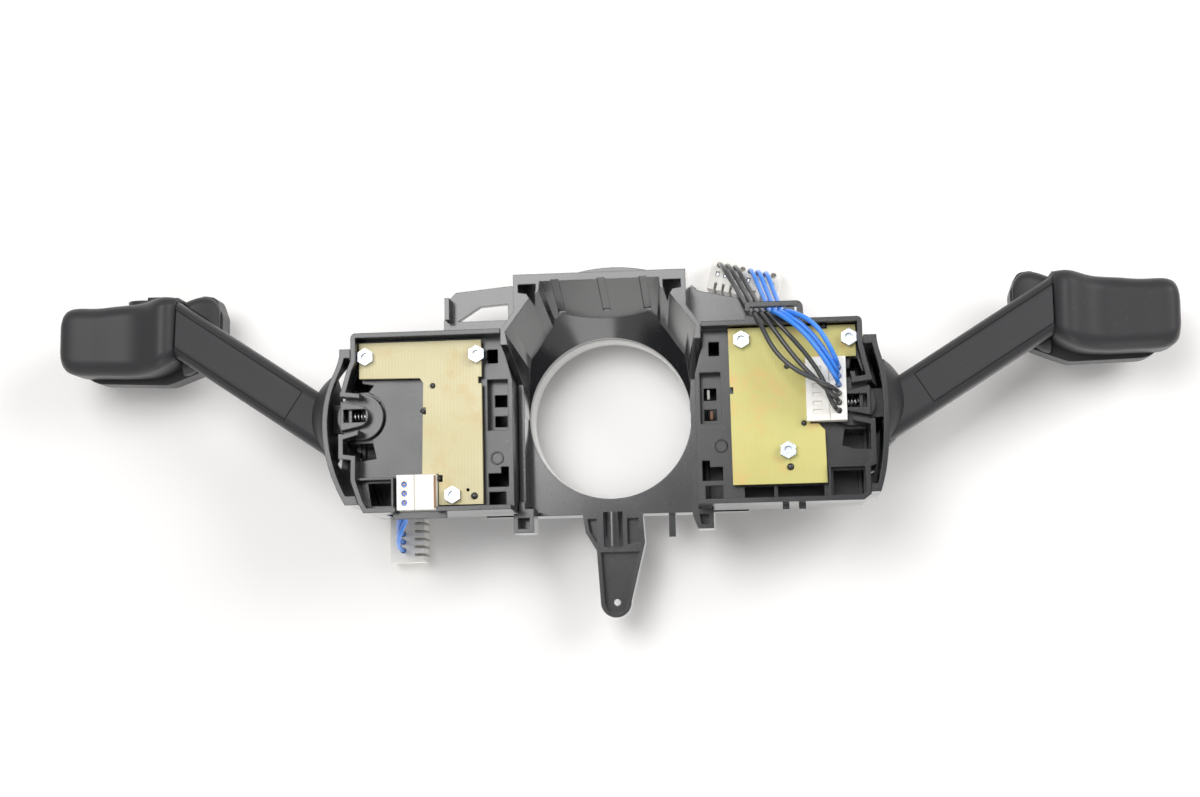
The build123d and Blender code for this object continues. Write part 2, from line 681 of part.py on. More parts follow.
def make_front_plate():
    """The plate that closes the collar and carries the switch when it stands."""
    with BuildPart() as piece:
        with BuildSketch(Plane.XY.offset(stand_z)):
            Circle(plate_radius)
            Polygon(
                *whole([(plate_radius, plate_low_y), (plate_radius, plate_high_y)]),
                mode=Mode.INTERSECT,
            )
            for side in (LEFT, RIGHT):
                Polygon(*flat(side, [
                    (plate_corner_x, plate_corner_y), (plate_radius, plate_corner_y),
                    (plate_radius, plate_high_y), (plate_corner_x, plate_high_y),
                ]), mode=Mode.SUBTRACT)
        extrude(amount=front_plate_thickness)
        with BuildSketch(Plane.XY.offset(plate_face_z)):
            Circle(spigot_outer)
        extrude(amount=spigot_top_z - plate_face_z)
        with BuildSketch(Plane.XY.offset(stand_z)):
            Circle(spigot_outer - spigot_wall)
        extrude(amount=spigot_top_z - stand_z, mode=Mode.SUBTRACT)
        for radius, depth in (
            (plate_screw_radius + seat_gap, front_plate_thickness),
            (plate_head_radius + seat_gap, plate_head_height + seat_gap),
        ):
            with BuildSketch(Plane.XY.offset(stand_z)):
                for angle in plate_boss_angles:
                    with PolarLocations(plate_boss_circle, 1, start_angle=angle):
                        Circle(radius)
            extrude(amount=depth, mode=Mode.SUBTRACT)
    save(piece.part, "front_plate")


def make_front_plate_screws():
    """The four screws that hold the front plate to the collar."""
    head_top = stand_z + seat_gap + plate_head_height
    with BuildPart() as piece:
        with BuildSketch(Plane.XY.offset(stand_z + seat_gap)):
            for angle in plate_boss_angles:
                with PolarLocations(plate_boss_circle, 1, start_angle=angle):
                    Circle(plate_head_radius)
        extrude(amount=plate_head_height)
        with BuildSketch(Plane.XY.offset(head_top)):
            for angle in plate_boss_angles:
                with PolarLocations(plate_boss_circle, 1, start_angle=angle):
                    Circle(plate_screw_radius)
        extrude(amount=plate_screw_length)
        with BuildSketch(Plane.XY.offset(stand_z)):
            for angle in plate_boss_angles:
                with PolarLocations(plate_boss_circle, 1, start_angle=angle):
                    Rectangle(plate_head_radius * 1.2, plate_head_radius / 4)
                    Rectangle(plate_head_radius / 4, plate_head_radius * 1.2)
        extrude(amount=plate_head_height / 2, mode=Mode.SUBTRACT)
    save(piece.part, "front_plate_screws")


def make_cancel_ring():
    """The loose ring with nubs that turns with the wheel and cancels the indicator."""
    with BuildPart() as piece:
        with BuildSketch(Plane.XY.offset(ring_low_z)):
            Circle(ring_outer_radius)
            Circle(ring_inner_radius, mode=Mode.SUBTRACT)
            with PolarLocations(bore_radius + running_gap + nub_radius, nub_count, start_angle=22.5):
                Circle(nub_radius)
        extrude(amount=ring_height)
    save(piece.part, "cancel_ring")


def make_housing(side):
    """The tray that holds the board above its floor and the mechanism below it."""
    pocket_start, pocket_end = POCKET_SPANS[side]
    with BuildPart() as piece:
        with BuildSketch(Plane.XY.offset(tray_low_z)):
            add(tray_sketch(side))
        extrude(amount=rim_z - tray_low_z)
        with BuildSketch(Plane.XY.offset(tray_low_z)):
            Polygon(*tray_outline(side))
            offset(amount=-tray_wall, kind=Kind.INTERSECTION)
        extrude(amount=floor_low_z - tray_low_z, mode=Mode.SUBTRACT)
        with BuildSketch(Plane.XY.offset(floor_top_z)):
            Polygon(*tray_outline(side))
            offset(amount=-tray_wall, kind=Kind.INTERSECTION)
            Polygon(*flat(side, TRAY_MOUTH))
        extrude(amount=rim_z - floor_top_z, mode=Mode.SUBTRACT)

        # Latch well for the bracket's clips
        with BuildSketch(Plane.XY.offset(well_floor_z)):
            Polygon(*flat(side, LATCH_WELL_WALL))
        extrude(amount=floor_top_z - well_floor_z)
        with BuildSketch(Plane.XY.offset(well_floor_z + well_floor_thickness)):
            Polygon(*flat(side, LATCH_WELL))
        extrude(amount=floor_top_z, mode=Mode.SUBTRACT)
        with BuildSketch(Plane.XY.offset(well_floor_z)):
            for window in LATCH_WINDOWS:
                Polygon(*flat(side, window))
        extrude(amount=well_floor_thickness, mode=Mode.SUBTRACT)

        # Bosses and holes for the board's screws
        boss_low_z = board_top_z - board_screw_length - 1
        with BuildSketch(Plane.XY.offset(boss_low_z)):
            with Locations(*flat(side, BOARD_SCREWS[side])):
                Circle(boss_radius)
        extrude(amount=board_low_z - boss_low_z)
        with BuildSketch(Plane.XY.offset(boss_low_z + 1)):
            with Locations(*flat(side, BOARD_SCREWS[side])):
                Circle(board_screw_radius)
        extrude(amount=board_screw_length, mode=Mode.SUBTRACT)

        # Low walls round the bottom pocket
        with BuildSketch(Plane.XY.offset(floor_low_z)):
            Polygon(*flat(side, [
                (pocket_start, tray_bottom_y + 1), (pocket_start, pocket_top_y),
                (pocket_end, pocket_top_y), (pocket_end, pocket_top_y - pocket_wall),
                (pocket_start + pocket_wall, pocket_top_y - pocket_wall),
                (pocket_start + pocket_wall, tray_bottom_y + 1),
            ]))
        extrude(amount=board_top_z + pocket_wall_high - floor_low_z)
        with BuildSketch(Plane.XY.offset(floor_top_z)):
            with Locations(*flat(side, [FLOOR_MARKS[side]])):
                Circle(floor_mark_radius)
                Circle(floor_mark_radius - floor_mark_width, mode=Mode.SUBTRACT)
        extrude(amount=floor_mark_height)

        # Holes through the floor
        with BuildSketch(Plane.XY.offset(floor_low_z)):
            for hole in FLOOR_HOLES + OUTER_FLOOR_HOLES[side]:
                Polygon(*flat(side, hole))
            with Locations((side * pivot_out, 0)):
                Circle(neck_radius + 0.7)
        extrude(amount=floor_thickness, mode=Mode.SUBTRACT)

        # Window and gate for the lever, with a flange on each side of the gate
        with BuildSketch(Plane.XY.offset(window_low_z)):
            Polygon(*flat(side, [
                (window_start, -window_half), (cuff_back, -window_half),
                (cuff_back, window_half), (window_start, window_half),
            ]))
        extrude(amount=neck_high_z - window_low_z, mode=Mode.SUBTRACT)
        with BuildSketch(Plane.XY.offset(neck_high_z)):
            Polygon(*flat(side, [
                (window_start, -gate_half), (cuff_back, -gate_half),
                (cuff_back, gate_half), (window_start, gate_half),
            ]))
        extrude(amount=rim_z, mode=Mode.SUBTRACT)
        with BuildSketch(Plane.XY.offset(gate_z)):
            for gate in GATES[side]:
                Polygon(*flat(side, gate))
        extrude(amount=rim_z - gate_z)

        # Guides for the contact slider, hanging from the floor
        guide_low_z = slider_low_z - moving_gap - guide_lip
        slider_gap_inner = slider_inner - moving_gap
        slider_gap_outer = slider_outer + moving_gap
        finger_reach = finger_half + 2.0
        with BuildSketch(Plane.XY.offset(guide_low_z)):
            Polygon(*flat(side, [
                (slider_gap_inner - guide_width, -guide_half), (slider_gap_inner, -guide_half),
                (slider_gap_inner, guide_half), (slider_gap_inner - guide_width, guide_half),
            ]))
            for turn in (-1, 1):
                Polygon(*flat(side, [
                    (slider_gap_outer, turn * finger_reach),
                    (slider_gap_outer + guide_width, turn * finger_reach),
                    (slider_gap_outer + guide_width, turn * guide_half),
                    (slider_gap_outer, turn * guide_half),
                ]))
        extrude(amount=floor_low_z - guide_low_z)
        with BuildSketch(Plane.XY.offset(guide_low_z)):
            Polygon(*flat(side, [
                (slider_gap_inner - 0.5, -guide_half), (slider_inner + 1, -guide_half),
                (slider_inner + 1, guide_half), (slider_gap_inner - 0.5, guide_half),
            ]))
            for turn in (-1, 1):
                Polygon(*flat(side, [
                    (slider_gap_outer + 0.5, turn * (track_half + 0.4)),
                    (slider_gap_outer + 0.5, turn * guide_half),
                    (slider_outer - 1, turn * guide_half),
                    (slider_outer - 1, turn * (track_half + 0.4)),
                ]))
        extrude(amount=guide_lip)

        # Groove for the bracket's rail
        with BuildSketch(Plane.XY.offset(rail_low_z - seat_gap)):
            Polygon(*flat(side, [
                (tray_inner - 1, funnel_bottom + 3 - seat_gap),
                (side_half + rail_proud + seat_gap, funnel_bottom + 3 - seat_gap),
                (side_half + rail_proud + seat_gap, flank_low_y - 3 + seat_gap),
                (tray_inner - 1, flank_low_y - 3 + seat_gap),
            ]))
        extrude(amount=rail_height + 2 * seat_gap, mode=Mode.SUBTRACT)

        if side == LEFT:
            # Notch for the connector, with the opening for its wires below
            with BuildSketch(Plane.XY.offset(floor_top_z)):
                Polygon(*flat(side, CONNECTOR_NOTCH))
            extrude(amount=rim_z, mode=Mode.SUBTRACT)
            with BuildSketch(Plane.XY.offset(floor_low_z)):
                Polygon(*flat(side, WIRE_FLOOR_HOLE))
            extrude(amount=floor_thickness, mode=Mode.SUBTRACT)
            with BuildSketch(Plane.XY.offset(carrier_low_z)):
                Polygon(*flat(side, WIRE_OPENING))
            extrude(amount=floor_low_z - carrier_low_z, mode=Mode.SUBTRACT)
            with BuildSketch(Plane.XY.offset(board_low_z)):
                Polygon(*flat(side, TRAY_LEDGE))
            extrude(amount=board_thickness)
        else:
            # Loop that gathers the wires on the top wall
            with BuildSketch(Plane.XY.offset(rim_z - loop_thickness)) as loop:
                Polygon(*flat(side, WIRE_LOOP))
                corner = Vector(*WIRE_LOOP[2], 0)
                fillet(loop.vertices().sort_by_distance(corner)[0], loop_corner_radius)
                Polygon(*flat(side, WIRE_LOOP_SLOT), mode=Mode.SUBTRACT)
                Polygon(*flat(side, WIRE_LOOP_MOUTH), mode=Mode.SUBTRACT)
            extrude(amount=loop_thickness)

            # Small clips on the bottom wall
            with BuildSketch(Plane.XY.offset(clip_low_z)):
                for clip in BOTTOM_CLIPS:
                    Polygon(*flat(side, clip))
            extrude(amount=clip_height)
    save(piece.part, f"{SIDE_NAMES[side]}_switch_housing")


def make_front_cover(side):
    """The cover on the driver side of a tray, with the pivot boss and the detent track."""
    lip = tray_wall + seat_gap
    with BuildPart() as piece:
        with BuildSketch(Plane.XY.offset(cover_low_z)):
            add(tray_sketch(side))
        extrude(amount=cover_thickness)
        with BuildSketch(Plane.XY.offset(tray_low_z)):
            Polygon(*tray_outline(side))
            offset(amount=-lip, kind=Kind.INTERSECTION)
        extrude(amount=cover_lip_height)
        with BuildSketch(Plane.XY.offset(tray_low_z)):
            Polygon(*tray_outline(side))
            offset(amount=-lip - cover_lip_width, kind=Kind.INTERSECTION)
        extrude(amount=cover_lip_height, mode=Mode.SUBTRACT)
        with BuildSketch(Plane.XY.offset(cover_low_z)):
            with Locations((side * pivot_out, 0)):
                Circle(1.75 * pivot_pin_radius)
        extrude(amount=carrier_low_z - moving_gap - cover_low_z)
        with BuildSketch(Plane.XY.offset(cover_low_z)):
            with Locations((side * pivot_out, 0)):
                Circle(pivot_pin_radius)
        extrude(amount=carrier_low_z, mode=Mode.SUBTRACT)
        track_radius = pivot_out - plunger_tip + moving_gap
        with BuildSketch(Plane.XY.offset(cover_low_z)):
            Polygon(*flat(side, TRACK_BLOCK))
            with Locations((side * pivot_out, 0)):
                Circle(track_radius, mode=Mode.SUBTRACT)
                start = 0 if side == LEFT else 180
                with PolarLocations(track_radius, 3, start_angle=start - 6.5, angular_range=19.5):
                    Circle(0.7, mode=Mode.SUBTRACT)
        extrude(amount=track_top_z - cover_low_z)
    save(piece.part, f"{SIDE_NAMES[side]}_front_cover")


def make_end_bezel(side):
    """The curved plate with the round hole that the lever's cuff moves in."""
    edge = BEZEL_EDGES[side]
    with BuildPart() as piece:
        with BuildSketch(Plane.XY):
            add(bezel_face(side, [(out - bezel_wall, y) for out, y in edge]))
            for tab in BEZEL_TABS[side]:
                Polygon(*flat(side, tab))
        extrude(amount=rim_z)
        with BuildSketch(Plane.XY):
            add(bezel_face(side, [(pivot_out, edge[0][1]), (pivot_out, edge[-1][1])]))
        extrude(amount=bezel_deck)
        with BuildSketch(Plane.XY):
            Polygon(*tray_outline(side))
            offset(amount=seat_gap, kind=Kind.INTERSECTION)
        extrude(amount=rim_z, mode=Mode.SUBTRACT)
        with Locations((side * pivot_out, 0, pivot_z)):
            Sphere(cuff_radius + cuff_gap, mode=Mode.SUBTRACT)
    save(piece.part, f"{SIDE_NAMES[side]}_end_bezel")


def make_circuit_board(side):
    """The flat board screwed to the bosses in a tray."""
    with BuildPart() as piece:
        with BuildSketch(Plane.XY.offset(board_low_z)):
            Polygon(*flat(side, BOARDS[side]))
            with Locations(*flat(side, BOARD_SCREWS[side])):
                Circle(board_screw_radius + seat_gap, mode=Mode.SUBTRACT)
            for out, y, radius in BOARD_HOLES[side]:
                with Locations((side * out, y)):
                    Circle(radius, mode=Mode.SUBTRACT)
            with Locations(*flat(side, BOARD_NOTCHES[side])):
                Rectangle(2.0, 2.0, mode=Mode.SUBTRACT)
        extrude(amount=board_thickness)
    save(piece.part, f"{SIDE_NAMES[side]}_circuit_board")


def make_board_screws(side):
    """The three screws of a board, with six-sided heads."""
    with BuildPart() as piece:
        with BuildSketch(Plane.XY.offset(board_top_z)):
            with Locations(*flat(side, BOARD_SCREWS[side])):
                RegularPolygon(screw_hex / 2, 6, major_radius=False, rotation=30)
        extrude(amount=screw_head_height)
        with BuildSketch(Plane.XY.offset(board_top_z - board_screw_length)):
            with Locations(*flat(side, BOARD_SCREWS[side])):
                Circle(board_screw_radius)
        extrude(amount=board_screw_length)
        with BuildSketch(Plane.XY.offset(board_top_z + screw_head_height - screw_socket_depth)):
            with Locations(*flat(side, BOARD_SCREWS[side])):
                Circle(screw_socket_radius)
        extrude(amount=screw_socket_depth, mode=Mode.SUBTRACT)
    save(piece.part, f"{SIDE_NAMES[side]}_board_screws")


def make_edge_connector(side):
    """The moulded connector beside a board that the wires go into."""
    hole_low_z = connector_top_z - plug_hole_depth / 2
    with BuildPart() as piece:
        if side == LEFT:
            with BuildSketch(Plane.XY.offset(floor_top_z)):
                Polygon(*flat(side, CONNECTORS[side]))
            extrude(amount=connector_top_z - floor_top_z)
            hole_low_z = floor_top_z
        else:
            with BuildSketch(Plane.XY.offset(neck_high_z + moving_gap)):
                Polygon(*flat(side, CONNECTORS[side]))
            extrude(amount=connector_top_z - neck_high_z - moving_gap)
            with BuildSketch(Plane.XY.offset(floor_top_z)):
                Polygon(*flat(side, RIGHT_CONNECTOR_FOOT))
            extrude(amount=connector_top_z - floor_top_z)
            with BuildSketch(Plane.XY.offset(board_top_z)):
                Polygon(*flat(side, RIGHT_CONNECTOR_LIP))
            extrude(amount=connector_top_z - board_top_z)
            with BuildSketch(Plane.XY.offset(neck_high_z)):
                with Locations((side * pivot_out, 0)):
                    Circle(nose_radius + 0.4)
            extrude(amount=nose_top_z - neck_high_z + moving_gap, mode=Mode.SUBTRACT)
        with BuildSketch(Plane.XY.offset(hole_low_z)):
            with Locations(*flat(side, WIRE_HOLES[side])):
                Circle(wire_hole_radius)
        extrude(amount=connector_top_z - hole_low_z, mode=Mode.SUBTRACT)

        # Seam between the two halves, and the cells of the right connector
        low_y = CONNECTORS[side][0][1]
        high_y = CONNECTORS[side][2][1]
        with BuildSketch(Plane.XY.offset(connector_top_z - seam_depth)):
            with Locations((side * CONNECTOR_SEAMS[side], (low_y + high_y) / 2)):
                Rectangle(seam_width, high_y - low_y)
            if side == RIGHT:
                with Locations(*[(cell_out, y) for out, y in WIRE_HOLES[side]]):
                    Rectangle(*cell_size)
        extrude(amount=seam_depth, mode=Mode.SUBTRACT)
    save(piece.part, f"{SIDE_NAMES[side]}_edge_connector")


def make_pivot_pin(side):
    """The upright pin that the carrier swings on, pressed into the cover."""
    with BuildPart() as piece:
        with BuildSketch(Plane.XY.offset(cover_low_z)):
            with Locations((side * pivot_out, 0)):
                Circle(pivot_pin_radius)
        extrude(amount=carrier_low_z + carrier_base - cover_low_z)
    save(piece.part, f"{SIDE_NAMES[side]}_pivot_pin")


def make_carrier(side):
    """The swinging block with the yoke on top, cheeks for the lever and the detent barrel."""
    with BuildPart() as piece:
        with BuildSketch(Plane.XY.offset(carrier_low_z)):
            Polygon(*flat(side, [
                (carrier_back, -cheek_outer), (carrier_end, -cheek_outer),
                (carrier_end, cheek_outer), (carrier_back, cheek_outer),
            ]))
        extrude(amount=cheek_top_z - carrier_low_z)
        with BuildSketch(Plane.XY.offset(carrier_low_z + carrier_base)):
            Polygon(*flat(side, [
                (carrier_back + carrier_back_wall, -cheek_inner), (carrier_end + 1, -cheek_inner),
                (carrier_end + 1, cheek_inner), (carrier_back + carrier_back_wall, cheek_inner),
            ]))
        extrude(amount=cheek_top_z - carrier_low_z, mode=Mode.SUBTRACT)
        with BuildSketch(Plane.XY.offset(neck_low_z)):
            with Locations((side * pivot_out, 0)):
                Circle(neck_radius)
        extrude(amount=neck_high_z - neck_low_z)

        # Yoke with the rounded nose, and the pocket of the return spring
        with BuildSketch(Plane.XY.offset(neck_high_z)):
            with Locations((side * pivot_out, 0)):
                Circle(nose_radius)
            Polygon(*flat(side, [
                (yoke_start, -yoke_start_half), (nose_end, -yoke_end_half),
                (nose_end, yoke_end_half), (yoke_start, yoke_start_half),
            ]))
        extrude(amount=nose_top_z - neck_high_z)
        with BuildSketch(Plane.XY.offset(neck_low_z)):
            Polygon(*flat(side, [
                (yoke_slot_start, -yoke_slot_half), (yoke_slot_end, -yoke_slot_half),
                (yoke_slot_end, yoke_slot_half), (yoke_slot_start, yoke_slot_half),
            ]))
        extrude(amount=nose_top_z - neck_low_z, mode=Mode.SUBTRACT)
        with BuildSketch(Plane.XY.offset(neck_low_z + 1)):
            Polygon(*flat(side, [
                (yoke_bar_start, -yoke_bar_half), (yoke_bar_end, -yoke_bar_half),
                (yoke_bar_end, yoke_bar_half), (yoke_bar_start, yoke_bar_half),
            ]))
        extrude(amount=yoke_bar_height)

        # Finger for the slider and barrel for the detent plunger
        with BuildSketch(Plane.XY.offset(finger_low_z)):
            Polygon(*flat(side, [
                (finger_tip, -finger_half), (carrier_back + 1, -finger_half),
                (carrier_back + 1, finger_half), (finger_tip, finger_half),
            ]))
        extrude(amount=finger_height)
        with BuildSketch(Plane.XY.offset(barrel_z - barrel_half)):
            Polygon(*flat(side, [
                (barrel_start, -barrel_half), (carrier_back + carrier_back_wall, -barrel_half),
                (carrier_back + carrier_back_wall, barrel_half), (barrel_start, barrel_half),
            ]))
        extrude(amount=2 * barrel_half)
        with BuildSketch(side_plane(side, barrel_start)):
            with Locations((0, barrel_z)):
                Circle(plunger_radius + running_gap)
        extrude(amount=detent_spring_end - barrel_start, mode=Mode.SUBTRACT)

        # Holes for the two pins
        with BuildSketch(Plane.XY.offset(carrier_low_z)):
            with Locations((side * pivot_out, 0)):
                Circle(pivot_pin_radius + running_gap)
        extrude(amount=carrier_base, mode=Mode.SUBTRACT)
        with BuildSketch(Plane.XZ.offset(-cheek_outer)):
            with Locations((side * pivot_out, pivot_z)):
                Circle(hinge_pin_radius)
        extrude(amount=2 * cheek_outer, mode=Mode.SUBTRACT)
    save(piece.part, f"{SIDE_NAMES[side]}_carrier")


def make_hinge_pin(side):
    """The cross pin that the lever tips on."""
    with BuildPart() as piece:
        with BuildSketch(Plane.XZ.offset(-cheek_outer)):
            with Locations((side * pivot_out, pivot_z)):
                Circle(hinge_pin_radius)
        extrude(amount=2 * cheek_outer)
    save(piece.part, f"{SIDE_NAMES[side]}_hinge_pin")


def make_spring(side, name, start, end, z, coil_radius, turns):
    """A coil spring lying along X from one distance outward to another."""
    inner = start + spring_wire / 2
    length = end - start - spring_wire
    with BuildPart() as piece:
        with BuildLine() as coil:
            Helix(
                pitch=length / turns, height=length, radius=coil_radius,
                center=(side * inner, 0, z), direction=(side, 0, 0),
            )
        with BuildSketch(Plane(origin=coil.line @ 0, z_dir=coil.line % 0)):
            RegularPolygon(spring_wire / 2, 6)
        sweep(path=coil.line, is_frenet=True)
    save(piece.part, f"{SIDE_NAMES[side]}_{name}")


def make_detent_plunger(side):
    """The round-nosed plunger that runs along the detent track."""
    with BuildPart() as piece:
        with BuildSketch(side_plane(side, plunger_tip)):
            with Locations((0, barrel_z)):
                Circle(plunger_radius)
        extrude(amount=plunger_tail - plunger_tip)
        tip_edges = piece.edges().group_by(Axis.X)[0 if side == RIGHT else -1]
        fillet(tip_edges, plunger_radius * 0.9)
    save(piece.part, f"{SIDE_NAMES[side]}_detent_plunger")


def make_contact_slider(side):
    """The block that the carrier's finger moves up and down under the board."""
    with BuildPart() as piece:
        with BuildSketch(Plane.XY.offset(slider_low_z)):
            Polygon(*flat(side, [
                (slider_inner, -slider_half), (slider_outer, -slider_half),
                (slider_outer, slider_half), (slider_inner, slider_half),
            ]))
            Polygon(*flat(side, [
                (finger_tip - 0.5, -slot_half), (slider_outer + 1, -slot_half),
                (slider_outer + 1, slot_half), (finger_tip - 0.5, slot_half),
            ]), mode=Mode.SUBTRACT)
        extrude(amount=floor_low_z - moving_gap - slider_low_z)
    save(piece.part, f"{SIDE_NAMES[side]}_contact_slider")


def make_shank(side):
    """The inner end of the lever, with the boss round the cross pin."""
    with BuildPart() as piece:
        with BuildSketch(Plane.XZ.offset(-cheek_inner + moving_gap)):
            with Locations((side * pivot_out, pivot_z)):
                Circle(boss_hinge_radius)
        extrude(amount=2 * (cheek_inner - moving_gap))
        with BuildSketch(Plane.XY.offset(shank_low_z)):
            Polygon(*flat(side, [
                (pivot_out + 2, -shank_half), (cuff_back - seat_gap, -shank_half),
                (cuff_back - seat_gap, shank_half), (pivot_out + 2, shank_half),
            ]))
        extrude(amount=shank_high_z - shank_low_z)
        with BuildSketch(Plane.XZ.offset(-cheek_outer)):
            with Locations((side * pivot_out, pivot_z)):
                Circle(hinge_pin_radius + running_gap)
        extrude(amount=2 * cheek_outer, mode=Mode.SUBTRACT)
    save(piece.part, f"{SIDE_NAMES[side]}_shank")


def make_arm(side):
    """The straight arm from the cuff to the head, the cuff round it and the inlaid panel."""
    name = SIDE_NAMES[side]
    with BuildPart() as arm:
        with BuildSketch(arm_plane(side, arm_start)):
            RectangleRounded(arm_width, arm_height, arm_edge_radius)
        extrude(amount=arm_length)
        split(bisect_by=side_plane(side, seam_out - running_gap), keep=Keep.BOTTOM)
        split(bisect_by=side_plane(side, cuff_back + 0.6), keep=Keep.TOP)

    with BuildPart() as cuff:
        with Locations((side * pivot_out, 0, pivot_z)):
            Sphere(cuff_radius, rotation=(0, 0, 90))
        split(bisect_by=side_plane(side, cuff_back), keep=Keep.TOP)
        add(arm.part, mode=Mode.SUBTRACT)
    save_turned(side, cuff.part, f"{name}_cuff")

    panel_y = (arm_height - panel_depth) / 2
    with BuildPart() as panel:
        with BuildSketch(arm_plane(side, panel_start + seat_gap)):
            RectangleRounded(arm_width, arm_height, arm_edge_radius)
            with Locations((0, panel_y)):
                Rectangle(panel_width - 2 * seat_gap, panel_depth, mode=Mode.INTERSECT)
        extrude(amount=panel_end - panel_start)
        split(bisect_by=side_plane(side, seam_out - 2 * seat_gap), keep=Keep.BOTTOM)
    save_turned(side, panel.part, f"{name}_arm_panel")

    with BuildPart() as grooved:
        add(arm.part)
        with BuildSketch(arm_plane(side, panel_start)):
            with Locations((0, panel_y)):
                Rectangle(panel_width, panel_depth)
        extrude(amount=panel_end - panel_start, mode=Mode.SUBTRACT)
    save_turned(side, grooved.part, f"{name}_arm")


def make_head(side):
    """The two shells of the head, joined at the parting plane."""
    name = SIDE_NAMES[side]
    dial_spot = (side * dial_out, dial_z)
    with BuildPart() as back:
        for out, low_y, high_y, height, radius in HEAD_BACK_SECTIONS:
            with BuildSketch(side_plane(side, out)):
                with Locations((side * (low_y + high_y) / 2, 0)):
                    RectangleRounded(high_y - low_y, 2 * height, radius)
        loft()
        split(bisect_by=Plane.XY, keep=Keep.TOP)
        if side == LEFT:
            with BuildSketch(Plane.XZ.offset(-dial_seat_y)):
                with Locations(dial_spot):
                    Circle(dial_radius + moving_gap)
            extrude(amount=-dial_radius, mode=Mode.SUBTRACT)
    save_turned(side, back.part, f"{name}_head_back")

    with BuildPart() as neck:
        for out, low_y, high_y, height, radius in HEAD_NECK_SECTIONS:
            with BuildSketch(side_plane(side, out)):
                with Locations((side * (low_y + high_y) / 2, 0)):
                    RectangleRounded(high_y - low_y, 2 * height, radius)
        loft()
        split(bisect_by=Plane.XY, keep=Keep.TOP)
        with BuildSketch(arm_plane(side, arm_start)):
            RectangleRounded(arm_width + 2 * seat_gap, arm_height + 2 * seat_gap, arm_edge_radius)
        extrude(amount=arm_length, mode=Mode.SUBTRACT)

    with BuildPart() as front:
        with BuildSketch(Plane.XY.offset(head_front_z)):
            with BuildLine():
                FilletPolyline(*flat(side, HEAD_FRONT_PLAN), radius=HEAD_FRONT_CORNERS, close=True)
            make_face()
        extrude(amount=-head_front_z)
        fillet(front.faces().sort_by(Axis.Z)[0].edges(), head_edge_radius)
        add(neck.part)
        if side == LEFT:
            with BuildSketch(Plane.XZ.offset(-dial_seat_y)):
                with Locations(dial_spot):
                    Circle(dial_radius + moving_gap)
            extrude(amount=-dial_radius, mode=Mode.SUBTRACT)
            with BuildSketch(Plane.XZ.offset(-dial_seat_y)):
                with Locations(dial_spot):
                    Circle(dial_stub_radius + running_gap)
            extrude(amount=dial_stub_length + moving_gap, mode=Mode.SUBTRACT)
    save_turned(side, front.part, f"{name}_head_front")


def make_dial():
    """The thumb dial on the left head, with its tab and the stub it turns on."""
    dial_spot = (LEFT * dial_out, dial_z)
    base_y = dial_seat_y + moving_gap
    with BuildPart() as piece:
        with BuildSketch(Plane.XZ.offset(-base_y)):
            with Locations(dial_spot):
                Circle(dial_radius)
        extrude(amount=-dial_height)
        with BuildSketch(Plane.XZ.offset(-base_y - dial_height)):
            with Locations((LEFT * (dial_out - dial_radius / 2), dial_z)):
                RectangleRounded(dial_radius * 0.9, dial_radius * 0.45, dial_radius * 0.15)
        extrude(amount=-dial_tab_height)
        with BuildSketch(Plane.XZ.offset(-base_y)):
            with Locations(dial_spot):
                Circle(dial_stub_radius)
        extrude(amount=dial_stub_length)
    save_turned(LEFT, piece.part, "left_dial")


def make_upper_plug():
    """The eight way plug on the right board's wires."""
    length, width = UPPER_PLUG_SIZE
    with BuildPart() as piece:
        with BuildSketch(Plane.XY.offset(stand_z)):
            with Locations(Location(UPPER_PLUG_CENTRE + (0,), UPPER_PLUG_TURN)):
                Rectangle(length, width)
                with Locations((0, -width / 2)):
                    with GridLocations(UPPER_PLUG_PITCH, 1, PLUG_WAYS, 1):
                        Rectangle(*UPPER_PLUG_SLIT, mode=Mode.SUBTRACT)
        extrude(amount=plug_height)
        with BuildSketch(Plane.XY.offset(stand_z + plug_height - plug_window_depth)):
            with Locations(Location(UPPER_PLUG_CENTRE + (0,), UPPER_PLUG_TURN)):
                with GridLocations(UPPER_PLUG_PITCH, 1, PLUG_WAYS, 1):
                    Rectangle(*UPPER_PLUG_WINDOW)
        extrude(amount=plug_window_depth, mode=Mode.SUBTRACT)
        with BuildSketch(Plane.XY.offset(stand_z + plug_height - plug_hole_depth)):
            with Locations(*[upper_plug_hole(number) for number in range(PLUG_WAYS)]):
                Circle(wire_hole_radius)
        extrude(amount=plug_hole_depth, mode=Mode.SUBTRACT)
    save(piece.part, "upper_plug")


def make_lower_plug():
    """The three way plug on the left board's wires."""
    with BuildPart() as piece:
        with BuildSketch(Plane.XY.offset(stand_z)):
            with Locations(LOWER_PLUG_CENTRE):
                Rectangle(*LOWER_PLUG_SIZE)
                with Locations((LOWER_PLUG_SIZE[0] / 2, 0)):
                    with GridLocations(1, UPPER_PLUG_PITCH, 1, LOWER_PLUG_SLITS):
                        Rectangle(*LOWER_PLUG_SLIT, mode=Mode.SUBTRACT)
        extrude(amount=plug_height)
        with BuildSketch(Plane.XY.offset(stand_z + plug_height - plug_hole_depth)):
            with Locations(*LOWER_PLUG_HOLES):
                Circle(wire_hole_radius)
        extrude(amount=plug_hole_depth, mode=Mode.SUBTRACT)
    save(piece.part, "lower_plug")


def bend_radii(points):
    """The radius of each bend of a wire: 0.45 of the shorter run beside it, at its tangent."""
    corners = [Vector(*point) for point in points]
    radii = []
    for before, corner, after in zip(corners, corners[1:], corners[2:]):
        run = min((corner - before).length, (after - corner).length)
        turn = math.radians((corner - before).get_angle(after - corner))
        radii.append(0.45 * run / math.tan(turn / 2))
    return radii


